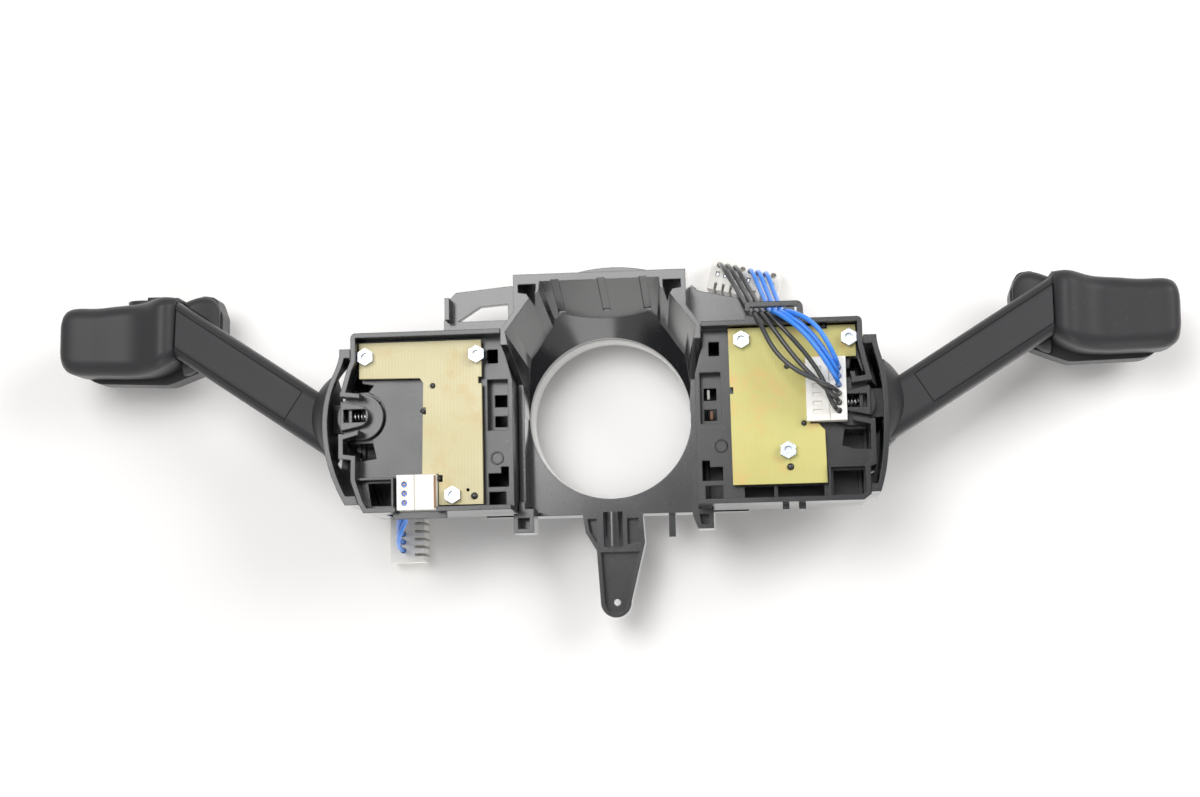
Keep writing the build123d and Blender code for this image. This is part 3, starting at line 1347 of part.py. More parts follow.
def make_wire(name, points):
    """A round wire of straight runs joined by tangent arcs."""
    radii = bend_radii(points)
    with BuildPart() as piece:
        with BuildLine():
            path = FilletPolyline(*points, radius=radii)
        with BuildSketch(Plane(origin=path @ 0, z_dir=path % 0)):
            Circle(wire_radius)
        sweep(path=path)
    expected = math.pi * wire_radius**2 * path.length
    print(name, "length", round(path.length, 1), "radii", [round(r, 1) for r in radii],
          "volume over section times length", round(piece.part.volume / expected, 3))
    save(piece.part, name)


for side in (LEFT, RIGHT):
    make_head(side)
    make_arm(side)
make_bracket()
make_front_plate()
make_front_plate_screws()
make_cancel_ring()
for side in (LEFT, RIGHT):
    name = SIDE_NAMES[side]
    make_housing(side)
    make_front_cover(side)
    make_end_bezel(side)
    make_circuit_board(side)
    make_board_screws(side)
    make_edge_connector(side)
    make_pivot_pin(side)
    make_carrier(side)
    make_hinge_pin(side)
    make_spring(
        side, "return_spring", return_spring_start, return_spring_end, return_spring_z,
        return_coil_radius, 4,
    )
    make_spring(
        side, "detent_spring", detent_spring_start, detent_spring_end, barrel_z,
        detent_coil_radius, 2,
    )
    make_detent_plunger(side)
    make_contact_slider(side)
    make_shank(side)
make_dial()
make_upper_plug()
make_lower_plug()

plug_top_z = stand_z + plug_height
for (out, y), (name, hole, loop_out, before, after) in zip(WIRE_HOLES[RIGHT], RIGHT_WIRES):
    plug_x, plug_y = upper_plug_hole(hole)
    make_wire(name, [
        (out, y, connector_top_z - plug_hole_depth / 2 + 0.1), (out, y, wire_peak_z - 0.1),
        before + (wire_peak_z,), (loop_out, wire_loop_y, wire_loop_high_z),
        (loop_out, wire_loop_y, wire_loop_low_z), after + (wire_fall_z,),
        (plug_x, plug_y, wire_drop_z), (plug_x, plug_y, plug_top_z - plug_hole_depth),
    ])
for number, ((out, y), (plug_x, plug_y)) in enumerate(zip(WIRE_HOLES[LEFT], LOWER_PLUG_HOLES), 1):
    make_wire(f"left_blue_wire_{number}", [
        (LEFT * out, y, connector_top_z - 0.7), (LEFT * out, y, left_wire_high_z),
        (plug_x, plug_y, left_wire_low_z), (plug_x, plug_y, plug_top_z - plug_hole_depth),
    ])
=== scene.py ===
"""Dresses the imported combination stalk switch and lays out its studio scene.

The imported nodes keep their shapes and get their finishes. The nine wires are laid anew as smooth
splines, and small pieces are added: the boards' pegs, the bare contacts, the wire strands, the
upper plug's terminals and the pale liner of the cancelling ring. Lengths are in mm in the
sub-assemblies and the studio, and in metres in the finishes and the lamps.
"""

from __future__ import annotations

import logging
import math
from dataclasses import dataclass
from enum import Enum
from typing import Callable, Sequence

import bmesh
import bpy
import numpy as np
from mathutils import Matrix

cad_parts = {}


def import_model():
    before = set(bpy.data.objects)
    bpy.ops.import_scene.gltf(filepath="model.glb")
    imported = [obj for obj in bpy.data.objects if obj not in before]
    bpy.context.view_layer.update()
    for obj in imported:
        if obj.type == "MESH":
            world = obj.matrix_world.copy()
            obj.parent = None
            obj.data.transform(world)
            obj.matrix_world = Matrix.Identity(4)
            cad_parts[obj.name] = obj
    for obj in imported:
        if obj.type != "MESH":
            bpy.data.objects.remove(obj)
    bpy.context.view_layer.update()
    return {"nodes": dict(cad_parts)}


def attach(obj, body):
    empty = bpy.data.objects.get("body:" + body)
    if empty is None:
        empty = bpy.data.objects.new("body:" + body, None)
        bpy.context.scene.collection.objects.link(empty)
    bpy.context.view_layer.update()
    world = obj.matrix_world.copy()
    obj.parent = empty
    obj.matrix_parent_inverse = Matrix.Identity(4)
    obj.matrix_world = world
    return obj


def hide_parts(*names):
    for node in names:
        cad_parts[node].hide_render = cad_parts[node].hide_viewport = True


LOG = logging.getLogger("stalk_switch")

MM = 0.001

Colour = tuple[float, float, float]
Point = tuple[float, float, float]
FlatPoint = tuple[float, float]
Span = tuple[float, float]
Nodes = dict[str, bpy.types.Object]
Socket = bpy.types.NodeSocket
Tree = bpy.types.NodeTree

ORIGIN: Point = (0.0, 0.0, 0.0)
WHOLE: Span = (0.0, 1.0)
# Where most of a noise's values lie
NOISE_SPAN: Span = (0.3, 0.7)
NUMBER_SOCKET = "NodeSocketFloat"
# A Mix node's colour sockets share their names with others, so they go by number
MIX_LOW, MIX_HIGH, MIX_RESULT = 6, 7, 2
EDGE_SAMPLES = 4
# Points of a mesh nearer than this, in metres, are made one
MERGE_DISTANCE = 1e-7


class Side(Enum):
    """The two sides of the switch, with the sign of their X."""

    LEFT = -1
    RIGHT = 1

    @property
    def word(self) -> str:
        """The side's name as the nodes spell it."""
        return self.name.lower()

    def out(self, out: float, y: float, z: float) -> Point:
        """A point in metres from its distance outward, its height and its level in mm."""
        return (self.value * out * MM, y * MM, z * MM)


class Body(Enum):
    """The moving and fixed bodies that new pieces ride on."""

    ROOT = "root"
    CANCEL_RING = "cancel_ring"


class Plug(Enum):
    """The two loose plugs, by their nodes."""

    UPPER = "upper_plug"
    LOWER = "lower_plug"


class Slot(Enum):
    """The record's material slot names. The wires and the contacts carry one, but nothing reads
    it.
    """

    BLACK_PLASTIC = "black_plastic"
    CONNECTOR_PLASTIC = "connector_plastic"
    WHITE_PLASTIC = "white_plastic"
    RING_PLASTIC = "ring_plastic"
    SPRING_STEEL = "spring_steel"
    ZINC_STEEL = "zinc_steel"
    BLUE_WIRE = "blue_wire"
    BLACK_WIRE = "black_wire"


# Shader nodes and node groups


def set_inputs(node: bpy.types.Node, values: dict[str, object]) -> None:
    """Sets a node's inputs by name, with underscores for spaces."""
    for key, value in values.items():
        node.inputs[key.replace("_", " ")].default_value = value


def new_node(tree: Tree, kind: str, **values: object) -> bpy.types.Node:
    """Adds a node to a tree.

    Args:
        tree: the tree that gets the node.
        kind: the node's type.
        values: its inputs by name, with underscores for spaces.

    Returns:
        The node.
    """
    node = tree.nodes.new(kind)
    set_inputs(node, values)
    return node


def combined(tree: Tree, operation: str, first: Socket, second: Socket) -> Socket:
    """Combines two values in a Math node.

    Args:
        tree: the tree that gets the node.
        operation: the node's operation.
        first: the first value.
        second: the second value.

    Returns:
        The socket of the result.
    """
    node = tree.nodes.new("ShaderNodeMath")
    node.operation = operation
    tree.links.new(first, node.inputs[0])
    tree.links.new(second, node.inputs[1])
    return node.outputs["Value"]


def seen_rays(tree: Tree) -> Socket:
    """Makes a mask of the rays that show the background: camera, glossy and transmission rays.

    Args:
        tree: the tree of the material or world that uses the mask.

    Returns:
        The socket of the mask, 1 for those rays and 0 for the rest.
    """
    path = tree.nodes.new("ShaderNodeLightPath")
    mask = path.outputs["Is Camera Ray"]
    for label in ("Is Glossy Ray", "Is Transmission Ray"):
        mask = combined(tree, "MAXIMUM", mask, path.outputs[label])
    return mask


def new_group(
    name: str, inputs: dict[str, float], outputs: Sequence[str]
) -> tuple[Tree, bpy.types.Node, bpy.types.Node]:
    """Makes an empty shader node group that reads a vector.

    Args:
        name: the group's name.
        inputs: name and default of each number that it takes besides Vector.
        outputs: name of each number that it puts out.

    Returns:
        The node tree, its input node and its output node.
    """
    tree = bpy.data.node_groups.new(name, "ShaderNodeTree")
    tree.interface.new_socket(name="Vector", in_out="INPUT", socket_type="NodeSocketVector")
    for label, value in inputs.items():
        socket = tree.interface.new_socket(name=label, in_out="INPUT", socket_type=NUMBER_SOCKET)
        socket.default_value = value
    for label in outputs:
        tree.interface.new_socket(name=label, in_out="OUTPUT", socket_type=NUMBER_SOCKET)
    return tree, tree.nodes.new("NodeGroupInput"), tree.nodes.new("NodeGroupOutput")


def group_once(name: str, build: Callable[[str], Tree]) -> Tree:
    """The node group of that name, built the first time that it is asked for."""
    return bpy.data.node_groups.get(name) or build(name)


def build_mould_grain(name: str) -> Tree:
    """Builds the spark-eroded mould texture: a fine height, and a slow mask for colour and gloss.

    Args:
        name: the group's name.

    Returns:
        The group, which puts out Height and Slow.
    """
    tree, given, put = new_group(name, {"Grain": 2500.0}, ("Height", "Slow"))
    fine = new_node(tree, "ShaderNodeTexNoise", Detail=3.0)
    slow = new_node(tree, "ShaderNodeTexNoise", Scale=45.0, Detail=4.0)
    for noise, label in ((fine, "Height"), (slow, "Slow")):
        tree.links.new(given.outputs["Vector"], noise.inputs["Vector"])
        tree.links.new(noise.outputs["Fac"], put.inputs[label])
    tree.links.new(given.outputs["Grain"], fine.inputs["Scale"])
    return tree


def build_dust(name: str) -> Tree:
    """Builds sparse specks: the tops of a fine noise, times a slow noise, times the cover.

    Args:
        name: the group's name.

    Returns:
        The group, which puts out Mask.
    """
    tree, given, put = new_group(name, {"Cover": 0.2}, ("Mask",))
    specks = new_node(tree, "ShaderNodeTexNoise", Scale=900.0, Detail=2.0)
    patch = new_node(tree, "ShaderNodeTexNoise", Scale=60.0)
    for noise in (specks, patch):
        tree.links.new(given.outputs["Vector"], noise.inputs["Vector"])
    tops = new_node(tree, "ShaderNodeMapRange", From_Min=0.66, From_Max=0.8)
    tree.links.new(specks.outputs["Fac"], tops.inputs["Value"])
    patchy = combined(tree, "MULTIPLY", tops.outputs["Result"], patch.outputs["Fac"])
    mask = combined(tree, "MULTIPLY", patchy, given.outputs["Cover"])
    tree.links.new(mask, put.inputs["Mask"])
    return tree


class MaterialMaker:
    """A new node material with a Principled shader and short ways to add and join nodes."""

    def __init__(self, name: str) -> None:
        """Starts the material and keeps its tree, its shader and its coordinates.

        Args:
            name: the material's name.
        """
        self.material = bpy.data.materials.new(name)
        self.material.use_nodes = True
        self.tree = self.material.node_tree
        self.shader = self.tree.nodes["Principled BSDF"]
        self.place = self.tree.nodes.new("ShaderNodeTexCoord").outputs["Object"]

    def join(self, source: Socket, target: Socket) -> None:
        """Links two sockets."""
        self.tree.links.new(source, target)

    def texture(self, kind: str, **values: float) -> bpy.types.Node:
        """Adds a texture that reads Object coordinates.

        Args:
            kind: the node's type.
            values: its inputs by name, with underscores for spaces.

        Returns:
            The node.
        """
        node = new_node(self.tree, kind, **values)
        self.join(self.place, node.inputs["Vector"])
        return node

    def group(self, name: str, build: Callable[[str], Tree], **values: float) -> bpy.types.Node:
        """Adds a shader node group that reads Object coordinates.

        Args:
            name: the group's name.
            build: what builds the group the first time.
            values: the group's inputs in this material.

        Returns:
            The group's node.
        """
        node = self.tree.nodes.new("ShaderNodeGroup")
        node.node_tree = group_once(name, build)
        set_inputs(node, values)
        self.join(self.place, node.inputs["Vector"])
        return node

    def mix(self, mask: Socket, low: Colour | Socket, high: Colour | Socket) -> Socket:
        """Mixes two colours by a mask.

        Args:
            mask: the share of the second colour.
            low: the first colour, as a value or a socket.
            high: the second colour, as a value or a socket.

        Returns:
            The socket of the mixed colour.
        """
        node = self.tree.nodes.new("ShaderNodeMix")
        node.data_type = "RGBA"
        self.join(mask, node.inputs["Factor"])
        for value, socket in ((low, node.inputs[MIX_LOW]), (high, node.inputs[MIX_HIGH])):
            if isinstance(value, bpy.types.NodeSocket):
                self.join(value, socket)
            else:
                socket.default_value = (*value, 1.0)
        return node.outputs[MIX_RESULT]

    def ramp(self, source: Socket, span: Span, target: Span) -> Socket:
        """Maps a range of a value to another range.

        Args:
            source: the value.
            span: the range that is mapped. What lies past an end stays at that end.
            target: what the two ends of the range become.

        Returns:
            The socket of the mapped value.
        """
        node = new_node(
            self.tree, "ShaderNodeMapRange",
            From_Min=span[0], From_Max=span[1], To_Min=target[0], To_Max=target[1],
        )
        self.join(source, node.inputs["Value"])
        return node.outputs["Result"]

    def fix(self, **values: object) -> None:
        """Sets plain values on the shader by name, with underscores for spaces."""
        set_inputs(self.shader, values)

    def tint(self, colour: Socket) -> None:
        """Feeds a colour to the shader."""
        self.join(colour, self.shader.inputs["Base Color"])

    def gloss(self, noise: Socket, roughness: Span) -> None:
        """Lets the roughness wander between two values with a noise."""
        self.join(self.ramp(noise, NOISE_SPAN, roughness), self.shader.inputs["Roughness"])

    def bump(self, height: Socket, strength: float, depth: float, edge: float) -> None:
        """Feeds a relief, and edges that look softly rounded, to the shader's normal.

        Args:
            height: the relief's height from 0 to 1.
            strength: how much of the relief shows.
            depth: the relief's depth in metres.
            edge: the edges' radius in metres, or 0 to leave them sharp.
        """
        node = new_node(self.tree, "ShaderNodeBump", Strength=strength, Distance=depth)
        self.join(height, node.inputs["Height"])
        if edge > 0:
            rounded = new_node(self.tree, "ShaderNodeBevel", Radius=edge)
            rounded.samples = EDGE_SAMPLES
            self.join(rounded.outputs["Normal"], node.inputs["Normal"])
        self.join(node.outputs["Normal"], self.shader.inputs["Normal"])


# Finishes


@dataclass(frozen=True)
class Finish:
    """A material's name, its colour and the second colour that it wanders towards.

    In the kinds of finish, relief is how much of the bump shows, depth is the bump's depth, and
    edge is the radius that sharp edges seem to have, both in metres. Roughness is a pair that
    the surface wanders between, but on the floor it is even.
    """

    name: str
    colour: Colour
    shade: Colour

    def build(self) -> bpy.types.Material:
        """The material, which each kind of finish builds in its own way."""
        raise NotImplementedError


@dataclass(frozen=True)
class PlasticFinish(Finish):
    """Moulded plastic with a mould grain, uneven gloss, rounded edges and a little dust."""

    roughness: Span
    grain: float = 2500.0
    relief: float = 0.5
    depth: float = 0.00004
    edge: float = 0.00035
    dust: float = 0.25
    speck_lift: float = 0.25
    specular: float = 0.5
    coat: float = 0.0
    coat_roughness: float = 0.18

    def build(self) -> bpy.types.Material:
        """Builds the plastic: two colours mixed by the slow mask, with paler specks on top.

        Returns:
            The material.
        """
        maker = MaterialMaker(self.name)
        grain = maker.group("mould_grain", build_mould_grain, Grain=self.grain)
        dust = maker.group("dust", build_dust, Cover=self.dust)
        body = maker.mix(grain.outputs["Slow"], self.colour, self.shade)
        pale = tuple(min(1.0, c + self.speck_lift) for c in self.colour)
        maker.tint(maker.mix(dust.outputs["Mask"], body, pale))
        maker.gloss(grain.outputs["Slow"], self.roughness)
        maker.fix(
            Specular_IOR_Level=self.specular,
            Coat_Weight=self.coat,
            Coat_Roughness=self.coat_roughness,
        )
        maker.bump(grain.outputs["Height"], self.relief, self.depth, self.edge)
        return maker.material


@dataclass(frozen=True)
class MetalFinish(Finish):
    """Plated or plain metal with a fine grain and slow stains."""

    roughness: Span
    relief: float = 0.3
    depth: float = 0.00003
    edge: float = 0.0002

    def build(self) -> bpy.types.Material:
        """Builds the metal: two colours and two roughnesses that follow the stains.

        Returns:
            The material.
        """
        maker = MaterialMaker(self.name)
        grain = maker.texture("ShaderNodeTexNoise", Scale=1800.0, Detail=3.0)
        stain = maker.texture("ShaderNodeTexNoise", Scale=260.0, Detail=4.0)
        maker.tint(maker.mix(stain.outputs["Fac"], self.colour, self.shade))
        maker.gloss(stain.outputs["Fac"], self.roughness)
        maker.fix(Metallic=1.0)
        maker.bump(grain.outputs["Fac"], self.relief, self.depth, self.edge)
        return maker.material


@dataclass(frozen=True)
class BoardFinish(Finish):
    """Resin board: pale laminate with fine upright lines, warm stains and soft clouds."""

    stain: Colour
    stain_cover: Span
    line_cover: float
    line_dark: float = 0.6
    stain_strength: float = 0.8
    roughness: Span = (0.38, 0.55)
    relief: float = 0.15
    depth: float = 0.00004
    edge: float = 0.00015

    def build(self) -> bpy.types.Material:
        """Builds the board: clouds of two colours, then darker lines, then stains.

        Returns:
            The material.
        """
        maker = MaterialMaker(self.name)
        lines = maker.texture("ShaderNodeTexWave", Scale=330.0, Distortion=1.2, Detail=2.0)
        lines.bands_direction = "X"
        cloud = maker.texture("ShaderNodeTexNoise", Scale=38.0, Detail=6.0, Roughness=0.65)
        patch = maker.texture("ShaderNodeTexNoise", Scale=95.0, Detail=5.0, Roughness=0.7)
        laminate = maker.mix(cloud.outputs["Fac"], self.colour, self.shade)
        line_mask = maker.ramp(lines.outputs["Fac"], WHOLE, (0.0, self.line_cover))
        lined = maker.mix(line_mask, laminate, tuple(self.line_dark * c for c in self.shade))
        stain_mask = maker.ramp(patch.outputs["Fac"], self.stain_cover, (0.0, self.stain_strength))
        maker.tint(maker.mix(stain_mask, lined, self.stain))
        maker.gloss(cloud.outputs["Fac"], self.roughness)
        maker.bump(lines.outputs["Fac"], self.relief, self.depth, self.edge)
        return maker.material


@dataclass(frozen=True)
class WireFinish(Finish):
    """Soft wire insulation: nearly even colour, a faint unevenness and a satin coat."""

    roughness: Span = (0.3, 0.42)
    coat: float = 0.25
    relief: float = 0.2
    depth: float = 0.00003

    def build(self) -> bpy.types.Material:
        """Builds the insulation: two near colours and the roughness follow one noise.

        Returns:
            The material.
        """
        maker = MaterialMaker(self.name)
        drawn = maker.texture("ShaderNodeTexNoise", Scale=420.0, Detail=3.0)
        maker.tint(maker.mix(drawn.outputs["Fac"], self.colour, self.shade))
        maker.gloss(drawn.outputs["Fac"], self.roughness)
        maker.fix(Coat_Weight=self.coat)
        maker.bump(drawn.outputs["Fac"], self.relief, self.depth, 0.0)
        return maker.material


@dataclass(frozen=True)
class FloorFinish(Finish):
    """White paper that keeps the object's shadow, with a glow for the rays that show it.

    The glow is faint near the object and stronger in reflections. It rises to white with the
    distance from the column, and a painted pool of light brightens it where the bore shows it.
    """

    seen_tone: Colour = (0.95, 0.935, 0.92)
    far_tone: Colour = (0.1, 0.1, 0.1)
    fade: Span = (0.24, 0.6)
    glow_tone: Colour = (1.0, 0.995, 0.985)
    glow: float = 0.06
    shine: float = 0.5
    far_glow: float = 0.97
    # A painted pool of light under the bore: its glow, and the distances over which it fades
    bore_painted_light: float = 0.15
    bore_painted_light_fade: Span = (0.023, 0.034)
    roughness: float = 0.9
    specular: float = 0.1

    def build(self) -> bpy.types.Material:
        """Builds the floor's material, whose glow is a function of the ray and the distance.

        Returns:
            The material.
        """
        maker = MaterialMaker(self.name)
        paper = maker.texture("ShaderNodeTexNoise", Scale=7.0, Detail=2.0)
        tone = maker.mix(paper.outputs["Fac"], self.colour, self.shade)
        seen = seen_rays(maker.tree)
        reach = maker.tree.nodes.new("ShaderNodeVectorMath")
        reach.operation = "LENGTH"
        maker.join(maker.place, reach.inputs[0])
        distance = reach.outputs["Value"]
        far = maker.ramp(distance, self.fade, WHOLE)
        maker.tint(maker.mix(seen, tone, maker.mix(far, self.seen_tone, self.far_tone)))
        path = maker.tree.nodes.new("ShaderNodeLightPath")
        near_glow = maker.ramp(path.outputs["Is Glossy Ray"], WHOLE, (self.glow, self.shine))
        far_glow = maker.ramp(far, WHOLE, (0.0, self.far_glow))
        # Painted pool of light: extra glow on the floor under the bore, fading out from the column
        painted_bore_light = maker.ramp(distance, self.bore_painted_light_fade, (self.bore_painted_light, 0.0))
        spread = combined(maker.tree, "MAXIMUM", near_glow, far_glow)
        glow = combined(maker.tree, "MULTIPLY", seen, combined(maker.tree, "ADD", spread, painted_bore_light))
        maker.join(glow, maker.shader.inputs["Emission Strength"])
        maker.fix(
            Roughness=self.roughness,
            Specular_IOR_Level=self.specular,
            Emission_Color=(*self.glow_tone, 1.0),
        )
        return maker.material


TRAY_PLASTIC = PlasticFinish(
    "tray_plastic", (0.012, 0.0125, 0.014), (0.020, 0.020, 0.022), (0.18, 0.28)
)
BRACKET_PLASTIC = PlasticFinish(
    "bracket_plastic", (0.012, 0.0125, 0.014), (0.020, 0.020, 0.022), (0.11, 0.19),
    depth=0.000015, coat=0.25,
)
STALK_PLASTIC = PlasticFinish(
    "stalk_plastic", (0.018, 0.017, 0.019), (0.026, 0.025, 0.027), (0.40, 0.50),
    grain=3200.0, depth=0.00006, edge=0.0005, dust=0.1, specular=0.3,
)
CONNECTOR_PLASTIC = PlasticFinish(
    "connector_plastic", (0.95, 0.93, 0.88), (0.88, 0.85, 0.78), (0.35, 0.5),
    depth=0.00002, dust=0.0,
)
INNER_PLASTIC = PlasticFinish(
    "inner_plastic", (0.72, 0.72, 0.68), (0.62, 0.61, 0.57), (0.4, 0.55),
    depth=0.00002, dust=0.0,
)
RING_PLASTIC = PlasticFinish(
    "ring_plastic", (0.86, 0.85, 0.83), (0.74, 0.73, 0.71), (0.3, 0.45),
    depth=0.00003, dust=0.0,
)
BROWN_STRIP = PlasticFinish(
    "brown_strip", (0.20, 0.08, 0.035), (0.34, 0.17, 0.09), (0.45, 0.6), dust=0.0
)
LEFT_BOARD = BoardFinish(
    "left_board_resin", (0.67, 0.615, 0.39), (0.61, 0.54, 0.29),
    stain=(0.60, 0.46, 0.22), stain_cover=(0.52, 0.72), line_cover=0.12,
)
RIGHT_BOARD = BoardFinish(
    "right_board_resin", (0.66, 0.62, 0.22), (0.58, 0.52, 0.16),
    stain=(0.76, 0.46, 0.16), stain_cover=(0.50, 0.72), line_cover=0.05,
)
ZINC = MetalFinish("zinc_plate", (0.50, 0.53, 0.57), (0.34, 0.38, 0.44), (0.2, 0.34))
SPRING_STEEL = MetalFinish("spring_steel", (0.48, 0.47, 0.46), (0.36, 0.35, 0.34), (0.25, 0.4))
COPPER = MetalFinish("copper_strand", (0.80, 0.36, 0.16), (0.62, 0.26, 0.10), (0.3, 0.45))
BLUE_WIRE = WireFinish("blue_insulation", (0.022, 0.20, 0.78), (0.035, 0.27, 0.88))
BLACK_WIRE = WireFinish("black_insulation", (0.018, 0.018, 0.020), (0.032, 0.032, 0.034))
FLOOR_PAPER = FloorFinish("floor_white", (0.93, 0.93, 0.93), (0.96, 0.96, 0.96))


class Paint:
    """Builds each finish once and puts it on nodes and pieces."""

    def __init__(self) -> None:
        """Starts with no material built."""
        self.built: dict[str, bpy.types.Material] = {}

    def material(self, finish: Finish) -> bpy.types.Material:
        """Gives the material of a finish, and builds it the first time.

        Args:
            finish: the finish.

        Returns:
            Its material.
        """
        if finish.name not in self.built:
            self.built[finish.name] = finish.build()
        return self.built[finish.name]

    def cover(self, thing: bpy.types.Object, finish: Finish) -> None:
        """Gives a mesh or a curve that one finish."""
        thing.data.materials.clear()
        thing.data.materials.append(self.material(finish))


# Surfaces


def grid_piece(name: str, points: np.ndarray) -> bpy.types.Object:
    """Makes a closed surface from a grid of points whose columns run round it.

    Each quad joins two neighbours in a row with the two below them, and the last column joins
    the first.

    Args:
        name: the piece's name.
        points: array of shape (rows, columns, 3) in metres. The first and the last row each
            shrink to one point, or both are the same ring.

    Returns:
        The object, with its doubles merged and its faces pointing outwards.
    """
    rows, columns = points.shape[:2]
    index = np.arange(rows * columns).reshape(rows, columns)
    beside = np.roll(index, -1, axis=1)
    quads = np.stack([index[:-1], beside[:-1], beside[1:], index[1:]], axis=-1).reshape(-1, 4)
    mesh = bpy.data.meshes.new(name)
    mesh.from_pydata(points.reshape(-1, 3).tolist(), [], quads.tolist())
    shape = bmesh.new()
    shape.from_mesh(mesh)
    bmesh.ops.remove_doubles(shape, verts=shape.verts, dist=MERGE_DISTANCE)
    bmesh.ops.recalc_face_normals(shape, faces=shape.faces)
    shape.to_mesh(mesh)
    shape.free()
    mesh.shade_smooth()
    piece = bpy.data.objects.new(name, mesh)
    bpy.context.scene.collection.objects.link(piece)
    return piece


def turned(profile: Sequence[FlatPoint], centre: Point, columns: int = 20) -> np.ndarray:
    """Turns a profile about an upright axis.

    A profile point (radius, level) at angle a becomes centre + (radius cos a, radius sin a,
    level).

    Args:
        profile: radius and level of each point in mm, from the bottom round to the top, or
            round a closed section.
        centre: where the axis stands, in metres.
        columns: how many points go round.

    Returns:
        An array of shape (len(profile), columns, 3) in metres.
    """
    table = np.asarray(profile, float) * MM
    angle = np.linspace(0.0, 2 * np.pi, columns, endpoint=False)
    x = table[:, :1] * np.cos(angle)
    y = table[:, :1] * np.sin(angle)
    z = np.repeat(table[:, 1:], columns, axis=1)
    return np.stack([x, y, z], axis=-1) + np.asarray(centre)


def rounded_slab(
    centre: Point, size: Point, power: float = 6.0, turn: float = 0.0,
    rows: int = 17, columns: int = 32,
) -> np.ndarray:
    """Shapes a slab with soft corners and edges, as a superellipsoid.

    With s(w) = sign(w) |w|^(2/power), the point at latitude u and longitude v is half the size
    times (s(cos u) s(cos v), s(cos u) s(sin v), s(sin u)), turned about Z.

    Args:
        centre: the slab's middle, in metres.
        size: its full size along X, Y and Z, in mm.
        power: 2 gives an ellipsoid, and more comes nearer to a box.
        turn: degrees about Z.
        rows: how many latitudes the grid has.
        columns: how many longitudes it has.

    Returns:
        An array of shape (rows, columns, 3) in metres.
    """
    u = np.linspace(-np.pi / 2, np.pi / 2, rows)[:, None]
    v = np.linspace(-np.pi, np.pi, columns, endpoint=False)[None, :]

    def soft(w: np.ndarray) -> np.ndarray:
        """The signed power of a sine or cosine."""
        return np.sign(w) * np.abs(w) ** (2.0 / power)

    x = soft(np.cos(u)) * soft(np.cos(v)) * size[0] / 2 * MM
    y = soft(np.cos(u)) * soft(np.sin(v)) * size[1] / 2 * MM
    z = soft(np.sin(u)) * np.ones_like(v) * size[2] / 2 * MM
    c, s = math.cos(math.radians(turn)), math.sin(math.radians(turn))
    return np.stack([c * x - s * y, s * x + c * y, z], axis=-1) + np.asarray(centre)


def add_piece(
    name: str, points: np.ndarray, body: Body, finish: Finish, paint: Paint
) -> None:
    """Makes a piece from its grid, dresses it and lets it ride on a body.

    Args:
        name: the piece's name.
        points: its grid, as grid_piece takes it.
        body: the body that it rides on.
        finish: its finish.
        paint: what builds the material.
    """
    piece = grid_piece(name, points)
    paint.cover(piece, finish)
    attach(piece, body.value)
    LOG.info("piece %s rides on %s", name, body.value)


# Sub-assemblies


@dataclass(frozen=True)
class Route:
    """One wire: name, finish, slot, the control points of its spline, length and plug."""

    name: str
    finish: WireFinish
    slot: Slot
    points: tuple[Point, ...]
    length: float
    plug: Plug

    @property
    def node(self) -> str:
        """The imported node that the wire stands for."""
        return self.name if self.name.startswith(Side.LEFT.word) else f"right_{self.name}"


